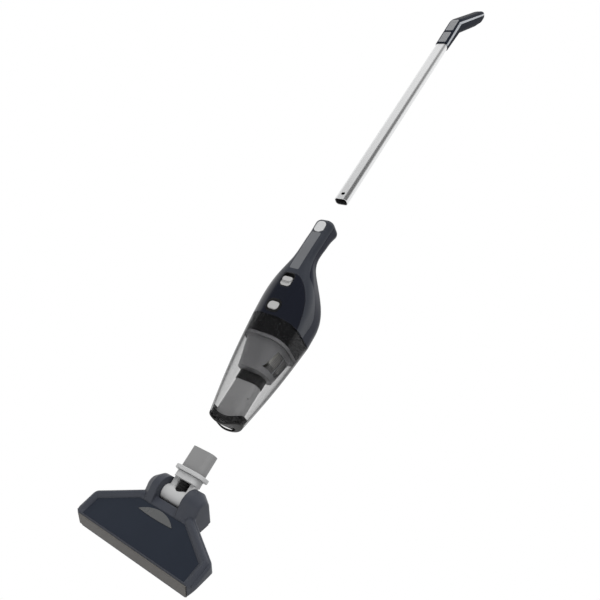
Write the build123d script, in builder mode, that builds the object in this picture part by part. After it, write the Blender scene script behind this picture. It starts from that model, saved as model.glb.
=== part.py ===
"""Stick vacuum drawn apart on one line: wand with bent grip, hand unit with clear bowl, floor head.

Millimetres. Z runs up the stick, Y = 0 on the wand tube, -Y is the face with the buttons.
The origin is at the bend of the wand's grip, where a hand holds it.
"""
import os
from math import cos, pi, radians, sin, tan

from build123d import *

os.makedirs("parts", exist_ok=True)

# Layout along the stick, from the bend of the grip downwards
GRIP_NECK = 85.0
TUBE_SHOWN = 518.0
WAND_GAP = 57.0
JOINT_HEIGHT = 190.0
BODY_LENGTH = 223.0
VAC_LENGTH = JOINT_HEIGHT + BODY_LENGTH
HEAD_GAP = 57.0
CONNECTOR_REACH = 40.0
NECK_REACH = 42.0
DOCK_Y = 62.0
HEAD_LEAN = 32.6

FOOT_Z = -GRIP_NECK
TUBE_END_Z = FOOT_Z - TUBE_SHOWN
VAC_TOP_Z = TUBE_END_Z - WAND_GAP
MOUTH_Z = VAC_TOP_Z - VAC_LENGTH
CONNECTOR_TOP_Z = MOUTH_Z - HEAD_GAP
FLANGE_Z = CONNECTOR_TOP_Z - CONNECTOR_REACH
HINGE_Z = FLANGE_Z - NECK_REACH

# Gaps: between parts of one body, between bodies that move, and for sliding fits
SEAM = 0.3
RUN_GAP = 0.4
SLIDE_FIT = 0.55
PIN_FIT = 0.05
FAR = 200.0
PLATE_REACH = 12.0

# Wand
TUBE_WIDTH = 27.5
TUBE_DEPTH = 18.0
TUBE_CORNER = 7.0
TUBE_WALL = 1.0
TUBE_INSET = 45.0
LINER_WALL = 1.6
LINER_LENGTH = 32.0
LATCH_HOLE_RADIUS = 3.8
LATCH_HOLE_RISE = 14.0
GRIP_LENGTH = 164.0
GRIP_BEND = 24.0
GRIP_WIDTH = 33.0
GRIP_DEPTH = 31.0
BEND_RADIUS = 34.0
BEND_THIN = 4.0
GRIP_CORNER = 13.0
GRIP_TIP_ROUND = 6.0
FOOT_WIDTH = 30.0
FOOT_DEPTH = 22.0
INLAY_WIDTH = 18.0
INLAY_DEPTH = 0.9
INLAY_BREAK = 7.0
INLAY_SPLIT_Z = -41.0
INLAY_TOP_Z = 6.0
GRIP_PAD_END = 132.0
HANG_HOLE_RADIUS = 4.5
HANG_HOLE_FROM_TIP = 19.0
WAND_SCREWS = (62.0, 190.0)
SCREW_SUNK = 2.0

# Hand unit: heights are above the nozzle mouth, the joint being where bowl and body meet
BELLY_HEIGHT = JOINT_HEIGHT + 15.0
SHOULDER_HEIGHT = VAC_LENGTH - 83.0
STOP_FOOT = VAC_LENGTH - 51.0
STOP_TOP = VAC_LENGTH - 23.0
COVER_TOP = BELLY_HEIGHT + 0.656 * (SHOULDER_HEIGHT - BELLY_HEIGHT)
BODY_HALF = 51.5
BODY_FRONT = 1.0
BODY_BACK = 117.0
BODY_CORNER = 40.0
HANDLE_HALF = 20.0
HANDLE_FRONT = -13.0
HANDLE_BACK = 25.0
HANDLE_CORNER = 15.0
HANDLE_STOP = 4.0
HANDLE_END_ROUND = 12.0
FRONT_BULGE = 2.5
WALL = 3.0
CAVITY_TOP = SHOULDER_HEIGHT + 15.0
SOCKET_SPARE = 0.6

# Inlay, buttons and switch on the front of the hand unit
STRIP_WIDTH = 20.0
STRIP_DEPTH = 1.4
LATCH_TOP = VAC_LENGTH - 10.5
LATCH_FOOT = LATCH_TOP - 25.0
LATCH_DEPTH = 1.2
LATCH_CORNER = 8.5
LATCH_PROUD = 0.9
LATCH_TRAVEL = 1.2
WELL_WIDTH = 25.0
WELL_LENGTH = 29.0
WELL_CORNER = 8.0
WELL_HEIGHT = COVER_TOP - 25.0
WELL_DEPTH = 5.0
WELL_WALL = 1.3
SLIDER_TRAVEL = 6.0
SLIDER_PROUD = 2.2
SLIDER_PAD = 1.2
DOME_CORNER = 4.8
STEM_WIDTH = 6.0
RELEASE_HEIGHT = JOINT_HEIGHT + 18.0
RELEASE_WIDTH = 22.0
RELEASE_LENGTH = 16.0
RELEASE_CORNER = 6.5
RELEASE_PROUD = 1.1
RELEASE_TRAVEL = 2.5
BEZEL_BORDER = 4.6
BEZEL_PROUD = 0.4
BEZEL_DEPTH = 3.0
BRIDGE_DEPTH = 12.0
SPRING_RADIUS = 3.6
SPRING_WIRE = 0.8
BRIDGE_WALL = 1.5

# Drive and battery inside the hand unit
BULKHEAD_THICK = 3.0
GRILLE_RADIUS = 24.0
GRILLE_SLOT = 3.0
GRILLE_ROWS = 2
GRILLE_PITCH = 9.0
SEAL_WIDTH = 2.4
SEAL_DEPTH = 4.0
DRIVE_Y = 52.0
SHROUD_RADIUS = 36.0
SHROUD_WALL = 2.0
SHROUD_LENGTH = 19.0
EYE_RADIUS = 14.0
FAN_RADIUS = 31.0
FAN_LENGTH = 11.0
FAN_BLADES = 9
FAN_HUB = 7.0
BLADE_THICK = 1.4
SHAFT_RADIUS = 1.6
FRAME_THICK = 3.0
MOTOR_RADIUS = 18.0
MOTOR_LENGTH = 46.0
CELL_RADIUS = 9.25
CELL_LENGTH = 65.0
CELL_PITCH = 20.0
CELL_SHIFT = 5.0
CELL_Y = 94.0
CRADLE_WALL = 1.8
BOARD_Y = 12.0
BOARD_WIDTH = 34.0
BOARD_LENGTH = 50.0
BOARD_THICK = 1.6
SWITCH_SIZE = 8.0
JACK_HEIGHT = JOINT_HEIGHT + 46.0
JACK_RADIUS = 5.0
JACK_BORE = 2.8
JACK_LENGTH = 8.0
VENT_COUNT = 5
VENT_WIDTH = 26.0
VENT_SLOT = 2.6
VENT_PITCH = 6.0
VENT_HEIGHT = JOINT_HEIGHT + 68.0
SCREW_RADIUS = 2.9
SCREW_SHANK = 1.5
SCREW_HEAD = 2.4
SCREW_LENGTH = 20.0
SCREW_BOSS = 5.5
BOSS_SUNK = 1.5

# Dust bowl
BOWL_WALL = 2.2
MOUTH_HALF = 33.0
MOUTH_FRONT = 45.0
MOUTH_BACK = 79.0
MOUTH_CORNER = 15.0
MOUTH_DIP = 5.0
MOUTH_RISE = 8.0
LIP_BAND = 12.0
LIP_FOOT = 3.0
LIP_WALL = 1.8
BOWL_MIDDLE = JOINT_HEIGHT / 2
BOWL_SWELL = 2.0
COLLAR_FOOT = JOINT_HEIGHT - 32.0
COLLAR_WALL = 2.0
DUCT_TOP = 77.0
DUCT_WALL = 1.5
DUCT_LIFT = 3.0
RING_TOP = 95.0
RING_WALL = 3.0
RING_RIBS = 13
RING_PITCH = 2.6
RING_GROOVE = 1.6
FLAP_HEIGHT = 50.0
FLAP_THICK = 1.2
FLAP_PIN_RADIUS = 1.0
FLAP_KNUCKLE = 2.0
FLAP_PIN_TUCK = 2.6
FILTER_FLANGE = 6.0
FILTER_FOOT = 98.0
FILTER_WALL = 1.6
FILTER_WINDOW = 34.0
FILTER_TOP_HALF = 42.0
FILTER_TOP_FRONT = 15.0
FILTER_TOP_BACK = 101.0
FILTER_TOP_CORNER = 30.0
FILTER_FOOT_HALF = 33.0
FILTER_FOOT_FRONT = 36.0
FILTER_FOOT_BACK = 90.0
FILTER_FOOT_CORNER = 22.0
PLEAT_COUNT = 12
PLEAT_DEPTH = 34.0
PLEAT_GAP = 2.2

# Connector and neck
CONNECTOR_WIDTH = 46.0
CONNECTOR_DEPTH = 23.0
CONNECTOR_CORNER = 9.0
CONNECTOR_WALL = 1.8
FLANGE_WIDTH = 62.0
FLANGE_DEPTH = 38.0
FLANGE_CORNER = 17.0
FLANGE_THICK = 4.0
FLANGE_RIM = 3.0
SPIGOT_RADIUS = 10.5
SPIGOT_LENGTH = 12.0
YOKE_RING_WALL = 3.2
YOKE_RING_LENGTH = 11.0
YOKE_ARM = 12.0
YOKE_ARM_DEPTH = 12.0
YOKE_ARM_X = 17.5
BARREL_RADIUS = 13.0
BELLOWS_RADIUS = 8.8
BELLOWS_RIB = 1.5
BELLOWS_RIBS = 4
BELLOWS_WALL = 1.4
BELLOWS_SEAT = 6.0
BELLOWS_TUCK = -0.6

# Floor head: lengths from the hinge, heights from the sole
HEAD_WIDTH = 258.0
HEAD_FRONT = 102.0
HEAD_END_DEPTH = 44.0
HINGE_HEIGHT = 43.0
LIP_HEIGHT = 26.0
CREST_HEIGHT = 46.0
COVER_BACK = 16.0
WAIST_HALF = 54.0
HUMP_IN = 26.0
HUMP_OUT = 56.0
HUMP_RADIUS = 24.0
HUMP_FLANK = 16.0
HUMP_LEAN = 32.0
HUMP_RAMP = 18.0
HUMP_ROUND = 5.0
BRIDGE_BACK = 14.0
BRIDGE_THICK = 3.0
COVER_WALL = 2.5
COVER_EDGE = 4.0
PLAN_CORNER = 11.0
END_CHAMFER = 17.0
RIM = 17.0
PANEL_DEPTH = 2.4
PANEL_THICK = 1.8
WINDOW_WIDTH = 74.0
WINDOW_HEIGHT = 13.0
WINDOW_PROUD = 0.8
BUMPER_THICK = 2.8
BUMPER_TOP = 25.0
BUMPER_FOOT = 5.0
BASE_THICK = 6.0
SLOT_LENGTH = 206.0
SLOT_WIDTH = 16.0
SLOT_FROM_FRONT = 24.0
FELT_WIDTH = 5.0
FELT_PROUD = 1.2
PIN_RADIUS = 4.0
WHEEL_RADIUS = 13.0
WHEEL_WIDTH = 10.0
WHEEL_X = 40.0
WHEEL_BACK = 6.0
WHEEL_PROUD = 2.0
AXLE_RADIUS = 2.0
ROLLER_RADIUS = 5.0
ROLLER_WIDTH = 9.0
ROLLER_X = 98.0
ROLLER_FROM_FRONT = 45.0
POST_WALL = 3.0
ROLLER_STUB = 1.5
ROLLER_STUB_REACH = 3.0
FELT_LET_IN = 2.0
PIN_BITE = 10.0
PIN_HEAD = 2.5
WHEEL_ROUND = 2.0


def above_mouth(height):
    """Z of a height measured up from the nozzle mouth."""
    return MOUTH_Z + height


def rounded_section(plane, half_width, front, back, corner):
    """Rounded section of a moulding, between its front and back lines."""
    with BuildSketch(plane) as profile:
        with Locations((0, (front + back) / 2)):
            RectangleRounded(2 * half_width, back - front, corner)
    return profile.sketch


def lofted(sections):
    """Smooth solid through a row of sections."""
    with BuildPart() as solid:
        loft(sections)
    return solid.part


def side_prism(*points, plane=Plane.YZ, reach=FAR):
    """Straight-edged region of the side view, run through the whole width."""
    with BuildPart() as prism:
        with BuildSketch(plane):
            with BuildLine():
                Polyline(*points, close=True)
            make_face()
        extrude(amount=reach, both=True)
    return prism.part


def front_outline(width, low, high, corner, margin=0.0):
    """Rounded outline on the front view, between two heights above the mouth."""
    with BuildSketch(Plane.XZ) as outline:
        with Locations((0, above_mouth((low + high) / 2))):
            RectangleRounded(width + 2 * margin, high - low + 2 * margin, corner + margin)
    return outline.sketch


def front_plate(solid, outline, proud, depth):
    """Plate that follows the front of a moulding, proud of it and let in by depth."""
    with BuildPart() as plate:
        extrude(outline.moved(Location((0, PLATE_REACH, 0))), amount=FAR)
        add(solid.moved(Location((0, -proud, 0))), mode=Mode.INTERSECT)
        add(solid.moved(Location((0, depth, 0))), mode=Mode.SUBTRACT)
    return plate.part

# Hand unit form: belly that shrinks into the handle along a shoulder curve


def shoulder_share(height):
    """How much of the belly is left at a height: 1 at the belly, 0 on the handle."""
    way = min(max((height - BELLY_HEIGHT) / (SHOULDER_HEIGHT - BELLY_HEIGHT), 0), 1)
    return cos(pi / 2 * way ** 1.6) ** 2


def front_line(height):
    """Y of the front face of the hand unit."""
    way = min((height - JOINT_HEIGHT) / (SHOULDER_HEIGHT - JOINT_HEIGHT), 1)
    return BODY_FRONT + (HANDLE_FRONT - BODY_FRONT) * way - FRONT_BULGE * sin(pi * way)


def back_line(height):
    """Y of the back of the hand unit, with the finger stop at the end of the handle."""
    stop_way = min(max((height - STOP_FOOT) / (STOP_TOP - STOP_FOOT), 0), 1)
    line = HANDLE_BACK + (BODY_BACK - HANDLE_BACK) * shoulder_share(height)
    return line + HANDLE_STOP * sin(pi / 2 * stop_way) ** 2


def body_section(height, inset):
    share = shoulder_share(height)
    half = HANDLE_HALF + (BODY_HALF - HANDLE_HALF) * share
    corner = HANDLE_CORNER + (BODY_CORNER - HANDLE_CORNER) * share
    return rounded_section(
        Plane.XY.offset(above_mouth(height)),
        half - inset,
        front_line(height) + inset,
        back_line(height) - inset,
        corner - inset,
    )


def up_shoulder(share):
    """Height at a share of the way from the belly to the shoulder."""
    return BELLY_HEIGHT + share * (SHOULDER_HEIGHT - BELLY_HEIGHT)


BODY_SHARES = (0.0, 0.184, 0.36, 0.504, 0.64, 0.76, 0.872, 1.0)
BODY_STATIONS = (JOINT_HEIGHT, *[up_shoulder(share) for share in BODY_SHARES])

with BuildPart() as body_form:
    loft([body_section(height, 0) for height in (*BODY_STATIONS, STOP_FOOT, STOP_TOP, VAC_LENGTH)])
    fillet(body_form.faces().sort_by(Axis.Z)[-1].edges(), HANDLE_END_ROUND)
body_outer = body_form.part
body_cavity = lofted([body_section(height, WALL) for height in (*BODY_STATIONS, CAVITY_TOP)])

# Deep enough for the tube's latch hole to come under the latch button
SOCKET_DEPTH = VAC_LENGTH - (LATCH_FOOT + LATCH_TOP) / 2 + LATCH_HOLE_RISE + SOCKET_SPARE

with BuildPart() as socket_form:
    with BuildSketch(Plane.XY.offset(VAC_TOP_Z - SOCKET_DEPTH)):
        RectangleRounded(
            TUBE_WIDTH + 2 * SLIDE_FIT, TUBE_DEPTH + 2 * SLIDE_FIT, TUBE_CORNER + SLIDE_FIT
        )
    extrude(amount=SOCKET_DEPTH + 1)
wand_socket = socket_form.part

# Side-view lines that part the mouldings: front cover edge, and front to rear housing
COVER_EDGE_LINE = (
    (BODY_FRONT + 29, JOINT_HEIGHT),
    (12.5, JOINT_HEIGHT + 50),
    (HANDLE_FRONT - 4, COVER_TOP),
)
PARTING_LINE = (
    (55.0, JOINT_HEIGHT - 1),
    (57.0, up_shoulder(0.168)),
    (40.0, up_shoulder(0.376)),
    (8.0, up_shoulder(0.6)),
    (0.0, up_shoulder(0.776)),
)


def on_side(points):
    return [(y, above_mouth(height)) for y, height in points]


def cover_region(margin):
    """Region of the side view in front of the front cover's edge."""
    with BuildPart() as region:
        with BuildSketch(Plane.YZ):
            with BuildLine():
                edge = Spline(*[(y - margin, z) for y, z in on_side(COVER_EDGE_LINE)])
                Polyline(edge @ 1, (-FAR, (edge @ 1).Y), (-FAR, (edge @ 0).Y), edge @ 0)
            make_face()
        extrude(amount=FAR, both=True)
    return region.part


def rear_region(margin):
    """Region of the side view behind the line where the two housings part."""
    with BuildPart() as region:
        with BuildSketch(Plane.YZ):
            with BuildLine():
                edge = Spline(
                    *[(y + margin, z) for y, z in on_side(PARTING_LINE)],
                    tangents=[(0, 1), (0, 1)],
                )
                Polyline(
                    edge @ 1,
                    ((edge @ 1).X, VAC_TOP_Z + 1),
                    (FAR, VAC_TOP_Z + 1),
                    (FAR, (edge @ 0).Y),
                    edge @ 0,
                )
            make_face()
        extrude(amount=FAR, both=True)
    return region.part


strip_outline = front_outline(STRIP_WIDTH, COVER_TOP, LATCH_FOOT - 1.2, 3)
strip_pocket = front_plate(
    body_outer,
    front_outline(STRIP_WIDTH, COVER_TOP, LATCH_FOOT - 1.2, 3, SEAM / 2),
    1,
    STRIP_DEPTH + SEAM / 2,
)
latch_pocket = front_plate(
    body_outer,
    front_outline(STRIP_WIDTH, LATCH_FOOT, LATCH_TOP, LATCH_CORNER, RUN_GAP),
    1,
    LATCH_DEPTH + LATCH_TRAVEL + RUN_GAP,
)
WELL_FRONT = front_line(WELL_HEIGHT)
WELL_LOW = WELL_HEIGHT - WELL_LENGTH / 2
WELL_HIGH = WELL_HEIGHT + WELL_LENGTH / 2
RELEASE_FRONT = front_line(RELEASE_HEIGHT)
RELEASE_LOW = RELEASE_HEIGHT - RELEASE_LENGTH / 2
RELEASE_HIGH = RELEASE_HEIGHT + RELEASE_LENGTH / 2


def release_outline(margin):
    return front_outline(RELEASE_WIDTH, RELEASE_LOW, RELEASE_HIGH, RELEASE_CORNER, margin)


def well_outline(margin):
    return front_outline(WELL_WIDTH, WELL_LOW, WELL_HIGH, WELL_CORNER, margin)


# Screws that draw the rear housing on to the front one: two in the belly, one in the handle
BELLY_SCREW_X = BODY_HALF - WALL - SCREW_BOSS + BOSS_SUNK
BELLY_SCREW_HEIGHT = JOINT_HEIGHT + 24
HOUSING_SCREWS = (
    (-BELLY_SCREW_X, 72.0, BELLY_SCREW_HEIGHT),
    (BELLY_SCREW_X, 72.0, BELLY_SCREW_HEIGHT),
    (0.0, 12.0, SHOULDER_HEIGHT + 28),
)
screw_spots = [
    Plane((x, seat, above_mouth(height)), z_dir=(0, 1, 0)) for x, seat, height in HOUSING_SCREWS
]


def screw_group(margin, recess):
    """Pan head screws pointing into the housing, or their holes when a margin is given."""
    with BuildPart() as group:
        for spot in screw_spots:
            with BuildSketch(spot):
                Circle(SCREW_RADIUS + margin)
            extrude(amount=-SCREW_HEAD)
            with BuildSketch(spot):
                Circle(SCREW_SHANK + margin)
            extrude(amount=-SCREW_LENGTH)
            if recess:
                with BuildSketch(spot):
                    Circle(SCREW_RADIUS + margin)
                extrude(amount=recess)
    return group.part


with BuildPart() as boss_form:
    for spot in screw_spots[:2]:
        with BuildSketch(spot):
            Circle(SCREW_BOSS)
        extrude(amount=-SCREW_LENGTH - SCREW_HEAD)
        with BuildSketch(spot):
            Circle(SCREW_BOSS)
        extrude(amount=BODY_BACK)
    add(body_outer, mode=Mode.INTERSECT)
screw_bosses = boss_form.part
screw_holes = screw_group(SEAM / 2, BODY_BACK)

with BuildPart() as housing_front:
    add(body_outer)
    add(body_cavity, mode=Mode.SUBTRACT)
    add(screw_bosses)
    add(rear_region(-SEAM / 2), mode=Mode.SUBTRACT)
    add(screw_holes, mode=Mode.SUBTRACT)
    add(cover_region(-SEAM / 2), mode=Mode.SUBTRACT)
    add(wand_socket, mode=Mode.SUBTRACT)
    add(strip_pocket, mode=Mode.SUBTRACT)
    add(latch_pocket, mode=Mode.SUBTRACT)
    extrude(
        well_outline(SEAM / 2).moved(Location((0, PLATE_REACH, 0))), amount=FAR, mode=Mode.SUBTRACT
    )
housing_front.part.label = "housing_front"
export_step(housing_front.part, "parts/housing_front.step")

JACK_PLANE = Plane((0, back_line(JACK_HEIGHT), above_mouth(JACK_HEIGHT)), z_dir=(0, 1, 0))

with BuildPart() as housing_rear:
    add(body_outer)
    add(body_cavity, mode=Mode.SUBTRACT)
    add(screw_bosses)
    add(rear_region(SEAM / 2), mode=Mode.INTERSECT)
    add(screw_holes, mode=Mode.SUBTRACT)
    add(wand_socket, mode=Mode.SUBTRACT)
    for row in range(VENT_COUNT):
        with BuildSketch(Plane.XZ.offset(-BODY_BACK)):
            with Locations((0, above_mouth(VENT_HEIGHT) + row * VENT_PITCH)):
                SlotOverall(VENT_WIDTH, VENT_SLOT)
        extrude(amount=BODY_BACK - DRIVE_Y, mode=Mode.SUBTRACT)
    with BuildSketch(JACK_PLANE):
        Circle(JACK_RADIUS + SEAM / 2)
    extrude(amount=WALL + 2, both=True, mode=Mode.SUBTRACT)
housing_rear.part.label = "housing_rear"
export_step(housing_rear.part, "parts/housing_rear.step")

with BuildPart() as front_cover:
    add(body_outer)
    add(body_cavity, mode=Mode.SUBTRACT)
    add(cover_region(SEAM / 2), mode=Mode.INTERSECT)
    extrude(well_outline(SEAM / 2), amount=FAR, both=True, mode=Mode.SUBTRACT)
    extrude(release_outline(BEZEL_BORDER + SEAM / 2), amount=FAR, both=True, mode=Mode.SUBTRACT)
front_cover.part.label = "front_cover"
export_step(front_cover.part, "parts/front_cover.step")

# Inlay, buttons and switch let into the front of the hand unit

with BuildPart() as handle_inlay:
    add(front_plate(body_outer, strip_outline, 0, STRIP_DEPTH))
handle_inlay.part.label = "handle_inlay"
export_step(handle_inlay.part, "parts/handle_inlay.step")

with BuildPart() as latch_button:
    add(
        front_plate(
            body_outer,
            front_outline(STRIP_WIDTH, LATCH_FOOT, LATCH_TOP, LATCH_CORNER),
            LATCH_PROUD,
            LATCH_DEPTH,
        )
    )
latch_button.part.label = "latch_button"
export_step(latch_button.part, "parts/latch_button.step")

WELL_FLOOR = WELL_FRONT + WELL_DEPTH
SLIDER_FACE = WELL_FLOOR - RUN_GAP
SLIDER_LOW = WELL_LOW + WELL_WALL + RUN_GAP
SLIDER_WIDTH = WELL_WIDTH - 2 * WELL_WALL - 2 * RUN_GAP
SLIDER_LENGTH = WELL_LENGTH - 2 * WELL_WALL - 2 * RUN_GAP - SLIDER_TRAVEL
SLIDER_HIGH = SLIDER_LOW + SLIDER_LENGTH
SLIDER_CORNER = WELL_CORNER - WELL_WALL - RUN_GAP
STEM_MIDDLE = SLIDER_LOW + SLIDER_LENGTH / 2


def pushed_back(outline, y):
    """Front-view outline moved back to a depth, ready to be run forwards."""
    return outline.moved(Location((0, y, 0)))


with BuildPart() as switch_well:
    extrude(pushed_back(well_outline(0), WELL_FLOOR + WELL_WALL), amount=FAR)
    add(body_outer, mode=Mode.INTERSECT)
    extrude(pushed_back(well_outline(-WELL_WALL), WELL_FLOOR), amount=FAR, mode=Mode.SUBTRACT)
    extrude(
        front_outline(
            STEM_WIDTH,
            STEM_MIDDLE - STEM_WIDTH / 2,
            STEM_MIDDLE + STEM_WIDTH / 2 + SLIDER_TRAVEL,
            STEM_WIDTH / 4,
            RUN_GAP,
        ),
        amount=FAR,
        both=True,
        mode=Mode.SUBTRACT,
    )
switch_well.part.label = "switch_well"
export_step(switch_well.part, "parts/switch_well.step")

BOARD_FACE = BOARD_Y - SEAM - BOARD_THICK
SWITCH_FACE = BOARD_FACE - SEAM / 2 - SWITCH_SIZE
DOME_LOW = SLIDER_LOW + SLIDER_LENGTH * 0.42

with BuildPart() as power_slider:
    extrude(
        pushed_back(front_outline(SLIDER_WIDTH, SLIDER_LOW, SLIDER_HIGH, SLIDER_CORNER), SLIDER_FACE),
        amount=SLIDER_FACE - WELL_FRONT - SLIDER_PAD,
    )
    extrude(
        pushed_back(
            front_outline(SLIDER_WIDTH - 2, DOME_LOW, SLIDER_HIGH - 1, DOME_CORNER), SLIDER_FACE
        ),
        amount=SLIDER_FACE - WELL_FRONT + SLIDER_PROUD,
    )
    fillet(power_slider.faces().sort_by(Axis.Y)[0].edges(), SLIDER_PROUD * 0.7)
    extrude(
        pushed_back(
            front_outline(
                STEM_WIDTH, STEM_MIDDLE - STEM_WIDTH / 2, STEM_MIDDLE + STEM_WIDTH / 2, STEM_WIDTH / 4
            ),
            SWITCH_FACE - RUN_GAP,
        ),
        amount=SWITCH_FACE - RUN_GAP - SLIDER_FACE,
    )
power_slider.part.label = "power_slider"
export_step(power_slider.part, "parts/power_slider.step")

BRIDGE_Y = RELEASE_FRONT + BRIDGE_DEPTH

with BuildPart() as release_bezel:
    add(front_plate(body_outer, release_outline(BEZEL_BORDER), BEZEL_PROUD, BEZEL_DEPTH))
    extrude(
        pushed_back(release_outline(BEZEL_BORDER - SEAM), BRIDGE_Y + BRIDGE_WALL),
        amount=BRIDGE_DEPTH + BRIDGE_WALL - BEZEL_DEPTH / 2,
    )
    extrude(
        pushed_back(release_outline(BEZEL_BORDER - SEAM - BRIDGE_WALL), BRIDGE_Y),
        amount=BRIDGE_DEPTH - BEZEL_DEPTH,
        mode=Mode.SUBTRACT,
    )
    extrude(
        pushed_back(release_outline(RUN_GAP), RELEASE_FRONT + BEZEL_DEPTH + 1),
        amount=FAR,
        mode=Mode.SUBTRACT,
    )
    extrude(
        pushed_back(release_outline(-RELEASE_CORNER / 2), BRIDGE_Y + FAR / 2),
        amount=FAR / 2,
        mode=Mode.SUBTRACT,
    )
    with BuildSketch(Plane.XZ.offset(-BRIDGE_Y - BRIDGE_WALL)):
        with Locations((0, above_mouth(RELEASE_HEIGHT))):
            Rectangle(2 * SPRING_RADIUS + 2, RELEASE_LENGTH)
    extrude(amount=BRIDGE_WALL)
release_bezel.part.label = "release_bezel"
export_step(release_bezel.part, "parts/release_bezel.step")

RELEASE_FLANGE = RELEASE_FRONT + BEZEL_DEPTH + RUN_GAP
RELEASE_BACK = RELEASE_FLANGE + BRIDGE_WALL

with BuildPart() as release_button:
    extrude(
        pushed_back(release_outline(0), RELEASE_BACK),
        amount=RELEASE_BACK - RELEASE_FRONT + RELEASE_PROUD,
    )
    fillet(release_button.faces().sort_by(Axis.Y)[0].edges(), RELEASE_PROUD)
    extrude(pushed_back(release_outline(3 * RUN_GAP), RELEASE_BACK), amount=BRIDGE_WALL)
release_button.part.label = "release_button"
export_step(release_button.part, "parts/release_button.step")

# Spring drawn as a sleeve at its pressed length, clear of the button all the way in
with BuildPart() as release_spring:
    with BuildSketch(Plane.XZ.offset(-BRIDGE_Y + SEAM / 2)):
        with Locations((0, above_mouth(RELEASE_HEIGHT))):
            Circle(SPRING_RADIUS)
            Circle(SPRING_RADIUS - SPRING_WIRE, mode=Mode.SUBTRACT)
    extrude(amount=BRIDGE_Y - SEAM / 2 - RELEASE_BACK - RELEASE_TRAVEL - RUN_GAP)
release_spring.part.label = "release_spring"
export_step(release_spring.part, "parts/release_spring.step")

# Drive: bulkhead over the bowl, fan in its shroud, motor on a frame


def drive_disc(radius, low, high):
    """Round plate on the drive's axis between two heights above the mouth."""
    with BuildPart() as disc:
        with BuildSketch(Plane.XY.offset(above_mouth(low))):
            with Locations((0, DRIVE_Y)):
                Circle(radius)
        extrude(amount=high - low)
    return disc.part


BULKHEAD_FOOT = JOINT_HEIGHT + 2 * RUN_GAP
SHROUD_FOOT = BULKHEAD_FOOT + BULKHEAD_THICK + SEAM
SHROUD_TOP = SHROUD_FOOT + SHROUD_LENGTH
FRAME_FOOT = SHROUD_TOP + SEAM
FRAME_TOP = FRAME_FOOT + FRAME_THICK
MOTOR_FOOT = FRAME_TOP + SEAM
MOTOR_TOP = MOTOR_FOOT + MOTOR_LENGTH
FAN_FOOT = SHROUD_FOOT + SHROUD_WALL + 2 * RUN_GAP
FAN_TOP = FAN_FOOT + FAN_LENGTH
SHAFT_TOP = MOTOR_FOOT + MOTOR_LENGTH / 2
shaft_hole = drive_disc(SHAFT_RADIUS + PIN_FIT, FAN_FOOT - 1, SHAFT_TOP + RUN_GAP)

with BuildPart() as bulkhead:
    extrude(
        body_section(JOINT_HEIGHT, WALL + SEAM).moved(
            Location((0, 0, BULKHEAD_FOOT - JOINT_HEIGHT))
        ),
        amount=BULKHEAD_THICK,
    )
    with BuildSketch(Plane.XY.offset(above_mouth(BULKHEAD_FOOT))):
        for row in range(-GRILLE_ROWS, GRILLE_ROWS + 1):
            from_axis = row * GRILLE_PITCH
            with Locations((0, DRIVE_Y + from_axis)):
                SlotOverall(2 * (GRILLE_RADIUS ** 2 - from_axis ** 2) ** 0.5, GRILLE_SLOT)
    extrude(amount=BULKHEAD_THICK, mode=Mode.SUBTRACT)
bulkhead.part.label = "bulkhead"
export_step(bulkhead.part, "parts/bulkhead.step")

with BuildPart() as fan_shroud:
    add(drive_disc(SHROUD_RADIUS, SHROUD_FOOT, SHROUD_TOP))
    add(
        drive_disc(SHROUD_RADIUS - SHROUD_WALL, SHROUD_FOOT + SHROUD_WALL, SHROUD_TOP),
        mode=Mode.SUBTRACT,
    )
    add(drive_disc(EYE_RADIUS, SHROUD_FOOT, SHROUD_TOP), mode=Mode.SUBTRACT)
    with Locations((0, DRIVE_Y, above_mouth(SHROUD_TOP))):
        Box(EYE_RADIUS, 3 * SHROUD_RADIUS, FAN_LENGTH, mode=Mode.SUBTRACT)
        Box(3 * SHROUD_RADIUS, EYE_RADIUS, FAN_LENGTH, mode=Mode.SUBTRACT)
fan_shroud.part.label = "fan_shroud"
export_step(fan_shroud.part, "parts/fan_shroud.step")

BLADE_LENGTH = FAN_RADIUS - FAN_HUB / 2

with BuildPart() as fan:
    add(drive_disc(FAN_HUB, FAN_FOOT, FAN_TOP))
    add(drive_disc(FAN_RADIUS, FAN_TOP - BLADE_THICK, FAN_TOP))
    for blade in range(FAN_BLADES):
        turn = 360 / FAN_BLADES * blade
        spoke = Plane((0, DRIVE_Y, above_mouth(FAN_FOOT))).rotated((0, 0, turn))
        with BuildSketch(spoke):
            with Locations((FAN_HUB / 2 + BLADE_LENGTH / 2, 0)):
                Rectangle(BLADE_LENGTH, BLADE_THICK)
        extrude(amount=FAN_LENGTH)
    add(drive_disc(SHAFT_RADIUS + PIN_FIT, FAN_FOOT, FAN_TOP), mode=Mode.SUBTRACT)
fan.part.label = "fan"
export_step(fan.part, "parts/fan.step")

with BuildPart() as motor_shaft:
    add(drive_disc(SHAFT_RADIUS, FAN_FOOT, SHAFT_TOP))
motor_shaft.part.label = "motor_shaft"
export_step(motor_shaft.part, "parts/motor_shaft.step")

BOARD_LOW = WELL_HEIGHT - BOARD_LENGTH / 2
BOARD_HIGH = WELL_HEIGHT + BOARD_LENGTH / 2

with BuildPart() as motor_frame:
    add(drive_disc(SHROUD_RADIUS, FRAME_FOOT, FRAME_TOP))
    for back, high in ((DRIVE_Y, FRAME_TOP), (BOARD_Y + FRAME_THICK, BOARD_HIGH)):
        with BuildSketch(Plane.XY.offset(above_mouth(FRAME_FOOT))):
            with Locations((0, (BOARD_Y + back) / 2)):
                Rectangle(BOARD_WIDTH, back - BOARD_Y)
        extrude(amount=high - FRAME_FOOT)
    add(shaft_hole, mode=Mode.SUBTRACT)
motor_frame.part.label = "motor_frame"
export_step(motor_frame.part, "parts/motor_frame.step")

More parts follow.
